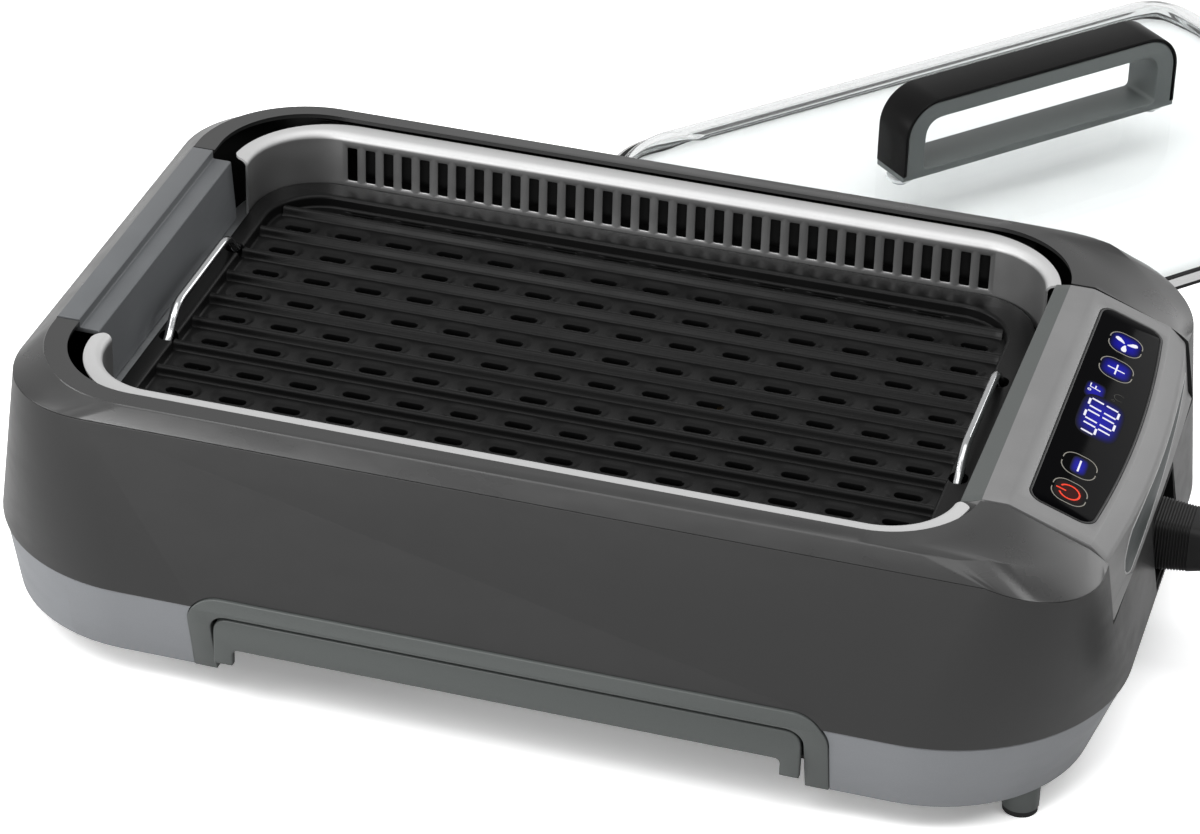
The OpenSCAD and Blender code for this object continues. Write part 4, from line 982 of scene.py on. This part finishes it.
def trim_rings(m, top, inward, r):
    """Section of the trim all the way round, from under its flange up, over and down."""
    t = m.sheet
    turn = quarter(1, 6)

    def wall(g, z):
        return at(even(m.wx0, m.wx1, m.wy - inward, m.wr - inward, m.wr - inward, g), z)

    def flange(g, z):
        return at(even(m.wx0 - FLANGE_X, m.wx1 + FLANGE_X, m.wy + FLANGE_Y, r, r, g), z)

    return [flange(0, top - t), flange(0.15, top - t / 2), flange(0, top),
            *[wall(4 * g, top - 4 * d) for g, d in turn],
            wall(0, m.tub_top + 0.2), wall(t, m.tub_top + 0.2),
            *[wall(t + 3 * g, top - 4 + 2.8 * (1 - d)) for g, d in turn[::-1]]]


def trim_half(m, side):
    """Cutter for the front (-1) or rear (1) part of the trim, with round ends to its flange."""
    outline, r = [(m.xl, side * m.yh), (m.xr, side * m.yh)], FLANGE_END
    for x, y, d in ((m.wx1 + FLANGE_X, m.con_h + 1.5, 1), (m.wx0 - FLANGE_X, m.cap_h + 2.9, -1)):
        end = [(d * m.xr, y + r + 1), (x + d * 0.5, y + r + 1),
               *[(x - d * v, y + u) for u, v in quarter(r, 8)], (0, y)]
        outline += [(u, side * v) for u, v in end[::d]]
    return Shape().prism(outline, 0, m.top)


def make_trim(m):
    """Front trim, and the rear trim with its sheet of smoke slots."""
    front = raw("trim_front", Shape().loft(trim_rings(m, m.flange + FRONT_UP, FRONT_IN, 45), loop=True))
    carve(front, trim_half(m, -1), keep=True)
    settle(front, "body", "trim_steel", "silver_paint", "front_trim")

    # the flat middle of the rear wall gives way to a slotted sheet
    rear = raw("trim_rear", Shape().loft(trim_rings(m, m.flange, 0, 51), loop=True))
    carve(rear, trim_half(m, 1), keep=True)
    mid, p, w = (m.wx0 + m.wx1) / 2 + 2.5, m.slot_pitch / 2, m.slot_w / 2
    half, back = m.slots * p, m.wy + m.sheet
    z0, z1 = m.plate + 0.9, m.flange - 5.2
    carve(rear, Shape().block((mid - half, m.wy - 3, z0), (mid + half, back + 2, z1)))
    settle(rear, "body", "trim_steel", "silver_paint", "rear_vent_trim")
    sheet = Shape()
    for k in range(m.slots):
        x = mid + (2 * k + 1 - m.slots) * p
        hole = plan(x - w, x + w, m.plate + 2.7, m.plate + 21.8, 0.7, n=4)
        rim = inset(hole, -SLOT_LIP)
        for y in (m.wy, back):
            sheet.fill(oblong((x - p, z0), (x + p, z1)), [rim], lambda u, v, y=y: (u, y, v), y == back)
        loops = (rim, m.wy), (inset(hole, -0.1), m.wy + 0.1), (hole, m.wy + SLOT_LIP), (rim, back)
        sheet.loft([[(u, y, v) for u, v in loop] for loop, y in loops], caps=False)
    piece("vent_sheet", sheet, "body", "trim_steel", "silver_paint")


# ---- Control housing, touch panel and lens ----

BOW = 5.6              # how far the housing's upper edge bows outwards at its middle
HOUSING_RADII = (1.5, 1.2, 3, 0.8, 0.8, 4, 4.5, 1.2, 9)    # one for each corner of its section
LENS_Y, LENS_LENGTH = -71, 163    # front end of the side lens and its length
LENS_Z, LENS_RISE = 111, 6        # height of its middle and how far that rises to the rear
KEY_X = 24.0           # middle of the keys, down the slope
KEY_SIZE, KEY_GAP = (17, 17.4, 6.5), 1.4    # width, length and corner radius; half the side gap
KEYS = {"fan": 64.8, "plus": 40.9, "minus": -48.2, "power": -71.2}
DIGIT_TALL, DIGIT_WIDE, DIGIT_LEAN = 15.2, 6.6, 1.2
DIGIT_PLACES = (-16.2, -5.6, 5.0)
# a digit's strokes, each from one end (across, up) to the other
SEGMENTS = {"a": (0, 1, 1, 1), "b": (1, 1, 1, 0.5), "c": (1, 0.5, 1, 0), "d": (1, 0, 0, 0),
            "e": (0, 0, 0, 0.5), "f": (0, 0.5, 0, 1), "g": (0, 0.5, 1, 0.5)}
DIGITS = {"0": "abcdef", "4": "fgbc"}
FAN_BLADE = ((0.9, -0.3), (2.6, -1.1), (4.6, -1.6), (6.2, -1.2), (6.7, 0), (6.1, 1.1), (4.4, 1.3),
             (2.4, 0.6), (0.9, 0.3))
INK_LOW, INK_HIGH = 0.03, 0.08    # underside and top of a mark on the panel


class Housing:
    """Section of the control housing, which bows outwards at its middle."""

    def __init__(self, m):
        self.m = m

    def bulge(self, y):
        return 1 - (y / self.m.con_h) ** 2

    def corner(self, y):
        m, b = self.m, self.bulge(y)
        x = m.xr - 21.5 + BOW * b
        z = m.top - m.con_fall * (x - m.con_slope)
        return (x, z), (x + 8 + 0.9 * b, z - 7.5)

    def section(self, y):
        m, b = self.m, self.bulge(y)
        edge, corner = self.corner(y)
        t = (y / m.con_h + 1) / 2
        return [(m.con_top, m.top), (m.con_top - 10.2 + 2.8 * t, m.top - 4 + 2.8 * t),
                (m.con_in, m.plate + 0.5), (m.con_in, m.con_low), (m.xr - 6.9 + 1.1 * b, m.con_low),
                (m.xr - 9.6 + 2.5 * b, m.con_low + 4.3), corner, edge, (m.con_slope, m.top)]

    def on_wall(self, y, z, d):
        """Point at a depth and height, a distance d out from the housing's side."""
        m, low = self.m, self.m.con_low + 4.3
        foot = m.xr - 9.6 + 2.5 * self.bulge(y)
        _, (x, top) = self.corner(y)
        return foot + (x - foot) * (z - low) / (top - low) + d, y, z

    def lens(self, g=0):
        """Outline of the lens on the housing's side, as (depth, height) points."""
        upper, lower = [], []
        for t in shares(40):
            reach = 11 * min(1, math.sqrt((t + 0.004) / 0.08)) * min(1, ((1.01 - t) / 0.75) ** 0.8)
            y, mid = LENS_Y - g + t * (LENS_LENGTH + 2 * g), LENS_Z + LENS_RISE * t
            upper.append((y, mid + reach + g))
            lower.append((y, mid - reach - g))
        return lower + upper[::-1]


def make_housing(m):
    house = Housing(m)
    ends = [(d - m.con_h, g) for d, g in ((0, 0.7), (0.15, 0.3), (0.7, 0.05))]
    middle = [((k / 20 - 1) * m.con_h, 0) for k in range(1, 40)]
    rings = []
    for y, g in ends + middle + [(-y, g) for y, g in ends[::-1]]:
        section = fillet(house.section(y), HOUSING_RADII, 5)
        rings.append([(x, y, z) for x, z in (inset(section, g) if g else section)])
    body = raw("console_body", Shape().loft(rings))

    def bowed(g, r):
        """Panel outline grown by g, whose right side follows the housing's bow."""
        x0, x1, half = m.glass[0] - g, m.glass[1] + g, m.glass[2] + g
        pts = plan(x0, x1, -half, half, r) + [(x1, k * (half - r) / 12) for k in range(-11, 12)]
        return [(x + BOW * (1 - (y / half) ** 2) * max(0, x - 20) / (x1 - 20), y) for x, y in pts]

    place = m.on_slope()
    recess = [[house.on_wall(y, z, d) for y, z in house.lens(1.0)] for d in (-1.8, 5)]
    carve(body, Shape(place).prism(bowed(0.25, 7.2), -1.6, 9), Shape().loft(recess))
    soften(body, 0.25, 50, 2)
    settle(body, "body", "grey_plastic", "console_plastic frame_plastic", "control_housing", crease=24)
    for face in body.data.polygons:
        face.material_index = int(face.center.x < (m.con_top - 0.9) * MM)

    outline = bowed(0, 7)
    border = Shape(place).slab(outline, [inset(outline, 1.3)], -1.5, 0.12, 0.35, 3)
    piece("panel_border", border, "body", "panel_glass", "panel_edge")
    panel = Shape(place).slab(inset(outline, 1.35), (), -1.5, 0.02, 0.2)
    piece("touch_panel", panel, "body", "panel_glass", "panel_glass", "control_glass")

    lens = Shape().slab(anticlockwise(house.lens()), (), -1.4, 0.1, 0.12, lift=house.on_wall)
    piece("side_lens_plate", lens, "body", "lens_plastic", "lens_plastic", "side_lens")
    rings = [[house.on_wall(y, z, d) for y, z in house.lens(g)] for g, d in (
        (0.9, -1.6), (0.9, 0.0), (0.7, 0.22), (0.35, 0.22), (0.15, 0.0), (0.15, -1.6))]
    piece("side_lens_rim", Shape().loft(rings, loop=True), "body", "lens_plastic", "lens_rim")


def stroke(s, points, w, lift=0.0, closed=False):
    """Thin raised line of width w along flat points."""
    pts = [Vector(p) for p in points]
    left, right = [], []
    low, high = INK_LOW + lift, INK_HIGH + lift
    n = len(pts)
    for i, p in enumerate(pts):
        a = pts[i - 1] if closed or i else p
        b = pts[(i + 1) % n] if closed or i < n - 1 else p
        t = (b - a).normalized()
        side = Vector((-t.y, t.x)) * w / 2
        left.append(p + side)
        right.append(p - side)
    if closed:
        s.loft([[(*a, low), (*a, high), (*b, high), (*b, low)] for a, b in zip(left, right)], loop=True)
    else:
        s.prism(right + left[::-1], low, high)


def arc(x, y, r, *span):
    """Points round (x, y), at the degrees that range(*span) gives."""
    return [(x + u, y + v) for u, v in (polar(r, a) for a in range(*span))]


def key_halves(x, y, w, h, r, gap):
    """Two halves of a key's rounded outline, parted by a gap at each side."""
    pts = plan(x - w / 2, x + w / 2, y - h / 2, y + h / 2, r, n=8)
    for side in (1, -1):
        edge = y + side * gap
        yield [(x + side * w / 2, edge), *[p for p in pts if side * (p[1] - edge) > 0],
               (x - side * w / 2, edge)]


def glow_patch(name, material_name, x, y, rx, ry, z, place):
    """Flat soft light that fades towards its edge."""
    rings, sides, squareness = 10, 40, 0.55
    verts, faces, glows = [place @ Vector((x, y, z))], [], [1.0]
    for t in shares(rings)[1:]:
        for c, s in circle(1, sides):
            dx = math.copysign(abs(c) ** squareness, c) * rx * t
            dy = math.copysign(abs(s) ** squareness, s) * ry * t
            verts.append(place @ Vector((x + dx, y + dy, z)))
            glows.append((1 - t ** 3) ** 1.6)
    for i in range(sides):
        j = (i + 1) % sides
        faces.append((0, 1 + i, 1 + j))
        for k in range(1, (rings - 1) * sides, sides):
            faces.append((k + i, k + sides + i, k + sides + j, k + j))
    mesh = bpy.data.meshes.new(name)
    mesh.from_pydata([v * MM for v in verts], [], faces)
    mesh.attributes.new("glow", "FLOAT", "POINT").data.foreach_set("value", glows)
    settle(linked(name, mesh), "body", "panel_glass", material_name)


def make_marks(m):
    """Keys, digits and their light on the touch panel."""
    place, cx = m.on_slope(), KEY_X
    lines, white, dim, red = (Shape(place) for _ in range(4))
    for y in KEYS.values():
        for half in key_halves(cx, y, *KEY_SIZE, KEY_GAP):
            stroke(lines, half, 0.5)
    piece("key_outlines", lines, "body", "panel_glass", "mark_line")

    y = KEYS["fan"]
    for turn in (150, 270, 390):
        c, s = polar(1, turn)
        white.prism([(cx + u * c - v * s, y + u * s + v * c) for u, v in FAN_BLADE], INK_LOW, INK_HIGH)
    y = KEYS["plus"]
    stroke(white, [(cx - 4.4, y), (cx + 4.4, y)], 0.8)
    stroke(white, [(cx, y - 4.4), (cx, y + 4.4)], 0.8, 0.005)
    y = KEYS["minus"]
    stroke(white, [(cx, y - 4.6), (cx, y + 4.6)], 0.9)
    # digits read along the depth, with their tops towards the plate
    for digit, middle in zip("400", DIGIT_PLACES):
        for u0, v0, u1, v1 in (SEGMENTS[name] for name in DIGITS[digit]):
            a, b = (Vector((cx + 1.2 + DIGIT_TALL / 2 - v * DIGIT_TALL,
                            middle - DIGIT_WIDE / 2 + u * DIGIT_WIDE + (v - 0.5) * DIGIT_LEAN))
                    for u, v in ((u0, v0), (u1, v1)))
            d = (b - a).normalized() * 0.75
            stroke(white, [a + d, b - d], 1.15)
    x, y = 18.0, 17.0
    stroke(white, [(x + 2.7, y), (x - 2.7, y + 0.5), (x - 2.7, y + 3.6)], 0.65)
    stroke(white, [(x, y + 0.2), (x, y + 2.9)], 0.65, 0.005)
    stroke(white, arc(x - 2.6, y - 2.2, 0.75, 0, 360, 36), 0.45, closed=True)
    piece("panel_symbols", white, "body", "panel_glass", "mark_white")

    x, y = 30.2, 17.6
    stroke(dim, arc(x, y + 1.6, 2.6, 40, 325, 19), 0.5)
    stroke(dim, arc(x - 2.4, y - 2.4, 0.7, 0, 360, 36), 0.35, closed=True)
    piece("panel_dim_symbol", dim, "body", "panel_glass", "mark_dim")

    y = KEYS["power"]
    stroke(red, arc(cx, y, 5.1, -152, 153, 8), 0.9)
    stroke(red, [(cx - 6.6, y), (cx - 1.6, y)], 0.9)
    piece("power_symbol", red, "body", "panel_glass", "mark_red")
    for name, light, *patch in (
            ("fan", "blue", cx, KEYS["fan"], 8.3, 8.6, 0.025),
            ("plus", "blue", cx, KEYS["plus"], 8.1, 8.0, 0.025),
            ("minus", "blue", cx, KEYS["minus"], 4.2, 7.2, 0.025),
            ("digits", "blue", cx + 1.2, -4.4, 11.2, 17.8, 0.025),
            ("degree", "blue", 18.2, 15.6, 5.2, 7.2, 0.024),
            ("power", "red", cx, KEYS["power"], 7.6, 7.6, 0.025)):
        glow_patch(f"glow_{name}", f"glow_{light}", *patch, place)


# ---- Plate and bails ----

ZONE_LIP = 1.8      # rounding between the plate's border and its cooking zone
ZONE_FOOT = 1.4     # rounding between the zone's wall and its floor
# section of a drain's dish, as (share of the way to the slot, share of its depth)
DISH = ((0, 0), (0.12, 0.06), (0.3, 0.28), (0.5, 0.62), (0.7, 0.88), (0.86, 0.98), (1, 1))
DISH_HALF, DISH_PITCH, DISHES = 12.2, 27.25, 14
# section of a searing rib, as (across, up)
RIB = [(-3.6, -0.4), (-2.7, 0.35), (-2.2, 1.3), (-1.85, 2.6), (-1.5, 3.4), (-0.85, 3.9), (0, 4.05)]
RIB += [(-u, v) for u, v in RIB[-2::-1]]


def make_plate(m):
    """Non-stick plate with its ribs, drain slots and bail holes."""
    top, under = m.plate, m.border_under
    border = plan(m.wx0 + 0.8, m.con_in - 0.7, 3.0 - m.wy, m.wy - 0.8, m.wr - 2.4)
    plate = raw("plate", Shape().slab(border, (), under, top, 0.8, 3))
    middles = [(x, m.bail_y + side * (m.bail_foot - 1.9)) for x in m.bail_x for side in (-1, 1)]
    holes = [plan(x - 4.6, x + 4.6, y - 5.1, y + 5.1, 4.4, n=8) for x, y in middles]

    def cutters(*outlines):
        return [Shape().prism(outline, under - 1, top + 1) for outline in outlines]

    # the zone is cut out of the border, and its own skin is set in
    carve(plate, *cutters(m.zone(ZONE_LIP + 0.02), *holes))
    skin = Shape().loft([at(m.zone(g), top - d) for g, d in quarter(ZONE_LIP, 5)]
                        + [at(m.zone(-d), m.floor + g) for g, d in quarter(ZONE_FOOT, 4)], caps=False)
    dishes, slots = [], []
    for y in [y - m.rib_pitch / 2 for y in m.rib_y[1:]] + [m.zy - 4.8]:
        last = abs(y) > m.zy - 10      # the rows by the wall are narrow, and lack their end dishes
        h, back, deep = (3.0, 2.9, 0.5) if last else (7.6, 7.6, 1.2)
        for k in range(1, DISHES - 1) if last else range(DISHES):
            x = m.zx1 - 15.6 - k * DISH_PITCH
            dish = plan(x - DISH_HALF, x + DISH_HALF, y - h, y + back, min(7.4, h - 0.2), n=6)
            slot = plan(x - m.drain / 2, x + m.drain / 2, y - 2.3, y + 2.3, 2.2, n=6)
            wide, base = inset(slot, -0.7), m.floor - deep
            bowl = [at(part_way(dish, wide, t), m.floor - deep * d) for t, d in DISH[::-1]]
            skin.loft([at(slot, base - 0.55), at(inset(slot, -0.25), base - 0.1), *bowl], caps=False)
            skin.loft([at(slot, m.pan_under), at(slot, base - 0.55)], caps=False, mark=1)
            dishes.append(dish)
            slots.append(slot)
    skin.fill(m.zone(-ZONE_FOOT), dishes, lambda u, v: (u, v, m.floor))
    skin.fill(m.zone(2.2), slots, lambda u, v: (u, v, m.pan_under), True)
    skin.loft([at(m.zone(g), z) for g, z in ((2.2, m.pan_under), (3, m.pan_under + 0.8), (3, under),
                                             (ZONE_LIP, under), (ZONE_LIP, top))], caps=False)
    zone = raw("plate_zone", skin)
    carve(zone, *cutters(*holes))
    ribs = Shape()
    for y in m.rib_y:
        past = max(0, abs(y) - (m.zy - m.zr))
        back = m.zr - math.sqrt(max(0.0, m.zr ** 2 - past ** 2))
        x0, x1 = m.zx0 + back - 0.6, m.zx1 - back + 0.6
        ribs.loft([[(x, y + u * wide, m.floor + v * tall) for u, v in RIB] for x, wide, tall in (
            (x0, 1.25, 1.1), (x0 + 1.6, 1.08, 1), (x0 + 4, 1, 1),
            (x1 - 4, 1, 1), (x1 - 1.6, 1.08, 1), (x1, 1.25, 1.1))])
    settle(plate, "plate", "plate_coating", "plate_coating", "grill_plate")
    settle(zone, "plate", "plate_coating", "plate_coating inner_black")
    piece("plate_ribs", ribs, "plate", "plate_coating", "plate_coating")


def make_bails(m):
    top = m.plate + 13.5 - m.bail_r
    half = [(m.bail_foot + 10.5, m.bail_z), (m.bail_foot, m.bail_z), (m.bail_foot - 12, top)]
    for side, x in zip(("left", "right"), m.bail_x):
        corners = [(x, m.bail_y - y, z) for y, z in half] + [(x, m.bail_y + y, z) for y, z in half[::-1]]
        bar = Shape().tube(bend(corners, 7.5, 7), m.bail_r, 18)
        piece(f"{side}_bail_wire", bar, f"{side}_bail", "wire_steel", "wire_steel", f"bail_{side}",
              crease=50)


# ---- Lid ----

SHOULDER_END = -54      # where the pane's curved shoulder meets its flat top


def make_lid(m):
    """Glass pane with its steel band, seal and handle."""
    place = m.in_place()
    h, t, band = m.lid_h, m.lid_t, m.lid_rim

    def around(section):
        """Rings round the lid, from (distance past its edge, height)."""
        return [at(m.lid(g), z) for g, z in section]

    outer = flowing([(-5.2, 6.2), (-5.8, 8.2), (-9.5, h - 19.5), (-17, h - 13.2), (-27, h - 7.2),
                     (-38, h - 2.6), (-50, h)])
    under = h - t
    inner = flowing([(-50, under), (-39.2, under - 2.4), (-28.8, under - 6.8), (-19.4, under - 12.2),
                     (-12.4, under - 18), (-9.4, 7), (-8.2, 3.7)])
    pane = Shape(place).loft(around([(SHOULDER_END, under), *inner, (-8, 3.5), (-1.2, 3.5), (-1.2, 5.8),
                                     (-5, 5.8), *outer, (SHOULDER_END, h)]), caps=False)
    posts = [arc(side * (m.handle_x - 7), 0, 3.2, 0, 360, 15) for side in (-1, 1)]
    for z in (h, under):
        pane.fill(m.lid(SHOULDER_END), posts, lambda u, v, z=z: (u, v, z), z < h)
    for post in posts:
        pane.loft([at(post, z) for z in (h, under)], caps=False)
    piece("lid_pane", pane, "lid", "lid_glass", "lid_glass", "lid_glass", crease=40)

    section = [(-5, 2.4), (-0.4, 2.4), (-0.1, 2.5), (0, 2.8), (0, band - 1.1), (-0.18, band - 0.4),
               (-0.6, band - 0.05), (-1.2, band), (-3.9, band), (-4.4, band - 0.25), (-4.4, band - 0.8),
               (-0.9, band - 0.8), (-0.9, 3.2), (-5, 3.2)]
    rim = Shape(place).loft(around(section), loop=True)
    piece("lid_band", rim, "lid", "rim_chrome", "rim_chrome", "lid_rim", crease=40)

    # the seal lies under the band and shows as a lip between the band and the pane; its black foot under
    # the band is partly real gasket and partly painted shadow, standing in for the lid's contact shadow
    # on the table
    foot = [(-0.4, 0.15), (-0.4, 2.2), (-0.6, 2.35), (-4.8, 2.35), (-5, 2.2), (-5, 0), (-0.55, 0)]
    lip = [(-4.4, band - 0.5), (-2.3, band + 0.05), (-2.5, band + 0.45), (-4.6, band + 0.8),
           (-5.15, band + 0.3), (-5.1, 5.9), (-4.6, 5.85)]
    seal = Shape(place).loft(around(foot), loop=True).loft(around(lip), loop=True)
    piece("lid_seal", seal, "lid", "pad_rubber", "pad_rubber", "lid_gasket")

    x, top, low, d = m.handle_x, h + m.handle_h, h + 3.2, m.handle_d / 2

    def arch(g, foot):
        """Handle's outline grown by g, open at its foot."""
        pts = [p for p in plan(-x - g, x + g, foot - 60, top + g, 22 + g, n=16) if p[1] > foot]
        return [(x + g, foot), *pts, (-x - g, foot)]

    def upright(u, v, w):
        return u, -w, v

    cover = Shape(place).slab(arch(0, low) + arch(-2.2, low)[::-1], (), -d, d, 0.7, 3, lift=upright)
    piece("handle_shell", cover, "lid", "black_plastic", "handle_cover", "handle_cover")
    outline = [(x, h + 0.1), (x, h + 3), *arch(-2.3, h + 3.05), (-x, h + 3), (-x, h + 0.1)]
    hole = fillet(oblong((14 - x, h + 5), (x - 14, top - 12)), [3, 3, 12, 12], 8)
    core = Shape(place).slab(outline, [hole], 0.5 - d, d - 0.5, 0.8, 3, lift=upright)
    piece("handle_inside", core, "lid", "grey_plastic", "handle_core", "handle_core")


# ---- Inner pieces and stage ----

# place, target, size and power, in metres and watts
LAMPS = {
    "top": ((0, -0.5, 2.6), (0, 0, 0), (2.6, 2.2), 48),
    "left_high": ((-1.1, -1.3, 1.9), (-0.1, 0, 0.1), (1.2, 0.8), 16),
    "front": ((-1.25, -3.0, 0.85), (0, 0, 0.1), (0.9, 0.5), 62),
    "left": ((-2.4, -0.9, 0.75), (0, 0, 0.1), (1.2, 0.5), 26),
    "right_high": ((1.6, -0.35, 1.6), (0.25, 0, 0.1), (0.8, 0.6), 12),
    "right_rear": ((1.35, 1.75, 1.0), (0.25, 0, 0.1), (1.2, 0.9), 13),
}
FLOOR_HALF = 6
FLOOR_SEEN, FLOOR_LIT = (1.62, 1.62, 1.62), (0.84, 0.84, 0.84)
WORLD_LIT, WORLD_SEEN = 0.22, 1.0


def finish_cad():
    """Gives the carried-over CAD nodes their materials."""
    for finish, names in CAD_FINISHES.items():
        for name in names.split():
            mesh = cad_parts[name].data
            mesh.materials.clear()
            mesh.materials.append(MATERIALS[finish])


def area_light(name, place, target, size, power):
    data = bpy.data.lights.new(name, "AREA")
    data.shape, data.energy = "RECTANGLE", power
    data.size, data.size_y = size
    obj = linked(name, data)
    obj.location = place
    obj.rotation_euler = (Vector(target) - Vector(place)).to_track_quat("-Z", "Y").to_euler()


def make_stage():
    """White floor and backdrop, and the lamps."""
    bpy.context.scene.view_settings.view_transform = "Standard"
    world = bpy.data.worlds.new("studio")
    world.use_nodes = True
    bpy.context.scene.world = world
    n, back = Nodes(world.node_tree), world.node_tree.nodes["Background"].inputs
    path = n.new("ShaderNodeLightPath").outputs
    seen = n.math("MAXIMUM", path["Is Camera Ray"], path["Is Transmission Ray"])
    seen = n.math("MAXIMUM", seen, path["Is Glossy Ray"])
    n.join(n.between(seen, 0.0, 1.0, WORLD_LIT, WORLD_SEEN), back["Strength"])
    n.join((1, 1, 1), back["Color"])
    mesh = bpy.data.meshes.new("floor")
    w = FLOOR_HALF
    mesh.from_pydata(at(oblong((-w, -w), (w, w)), 0), [], [(0, 1, 2, 3)])
    floor = linked("floor", mesh)
    n, shade = material("floor_white")
    seen = n.new("ShaderNodeLightPath").outputs["Is Camera Ray"]
    shade(Base_Color=n.mix(seen, FLOOR_LIT, FLOOR_SEEN), Roughness=0.9, Specular_IOR_Level=0.0)
    mesh.materials.append(MATERIALS["floor_white"])
    for name, lamp in LAMPS.items():
        area_light(name, *lamp)


# ---- Add-on ----


def measured(context):
    return Measures(context.scene.grill_sizes)


class GRILL_OT_materials(bpy.types.Operator):
    """Makes the materials and their shared shader groups"""
    bl_idname = "grill.materials"
    bl_label = "Materials"

    def execute(self, context):
        make_materials(context.scene.grill_colours)
        return {"FINISHED"}


class GRILL_OT_cord(bpy.types.Operator):
    """Places the camera and lays the power cord"""
    bl_idname = "grill.cord"
    bl_label = "Camera and cord"

    def execute(self, context):
        place_camera()
        make_cords(measured(context))
        return {"FINISHED"}


class GRILL_OT_base(bpy.types.Operator):
    """Builds the base, the frame of the tray bay and the tray's front"""
    bl_idname = "grill.base"
    bl_label = "Base and tray"

    def execute(self, context):
        make_base(measured(context))
        return {"FINISHED"}


class GRILL_OT_shells(bpy.types.Operator):
    """Builds the dark band, the rim and the left end cap"""
    bl_idname = "grill.shells"
    bl_label = "Outer shells"

    def execute(self, context):
        make_shells(measured(context))
        return {"FINISHED"}


class GRILL_OT_trim(bpy.types.Operator):
    """Builds the silver trim with its smoke slots"""
    bl_idname = "grill.trim"
    bl_label = "Silver trim"

    def execute(self, context):
        make_trim(measured(context))
        return {"FINISHED"}


class GRILL_OT_panel(bpy.types.Operator):
    """Builds the control housing, its touch panel, marks and side lens"""
    bl_idname = "grill.panel"
    bl_label = "Control panel"

    def execute(self, context):
        make_housing(measured(context))
        make_marks(measured(context))
        return {"FINISHED"}


class GRILL_OT_plate(bpy.types.Operator):
    """Builds the grill plate and its two wire bails"""
    bl_idname = "grill.plate"
    bl_label = "Plate and bails"

    def execute(self, context):
        make_plate(measured(context))
        make_bails(measured(context))
        return {"FINISHED"}


class GRILL_OT_lid(bpy.types.Operator):
    """Builds the glass lid with its rim and handle"""
    bl_idname = "grill.lid"
    bl_label = "Lid"

    def execute(self, context):
        make_lid(measured(context))
        return {"FINISHED"}


class GRILL_OT_inside(bpy.types.Operator):
    """Finishes the pieces inside the body"""
    bl_idname = "grill.inside"
    bl_label = "Inner pieces"

    def execute(self, context):
        finish_cad()
        return {"FINISHED"}


class GRILL_OT_stage(bpy.types.Operator):
    """Sets the floor, the backdrop and the lamps"""
    bl_idname = "grill.stage"
    bl_label = "Stage"

    def execute(self, context):
        make_stage()
        return {"FINISHED"}


OPERATORS = (GRILL_OT_materials, GRILL_OT_cord, GRILL_OT_base, GRILL_OT_shells, GRILL_OT_trim,
             GRILL_OT_panel, GRILL_OT_plate, GRILL_OT_lid, GRILL_OT_inside, GRILL_OT_stage)


class GRILL_PT_sidebar(bpy.types.Panel):
    """Sizes, colours and steps of the grill"""
    bl_idname = "GRILL_PT_sidebar"
    bl_label = "Indoor grill"
    bl_space_type = "VIEW_3D"
    bl_region_type = "UI"
    bl_category = "Grill"

    def draw(self, context):
        layout = self.layout
        for settings in (context.scene.grill_sizes, context.scene.grill_colours):
            box = layout.box()
            for key in settings.__annotations__:
                box.prop(settings, key)
        for operator in OPERATORS:
            layout.operator(operator.bl_idname)


CLASSES = (GrillSizes, GrillColours, *OPERATORS, GRILL_PT_sidebar)


def register():
    for cls in CLASSES:
        bpy.utils.register_class(cls)
    bpy.types.Scene.grill_sizes = PointerProperty(type=GrillSizes)
    bpy.types.Scene.grill_colours = PointerProperty(type=GrillColours)


def unregister():
    del bpy.types.Scene.grill_colours
    del bpy.types.Scene.grill_sizes
    for cls in reversed(CLASSES):
        bpy.utils.unregister_class(cls)


def main():
    register()
    for step in ("materials", "cord", "base", "shells", "trim", "panel", "plate", "lid", "inside",
                 "stage"):
        getattr(bpy.ops.grill, step)()


if __name__ == "__main__":
    main()
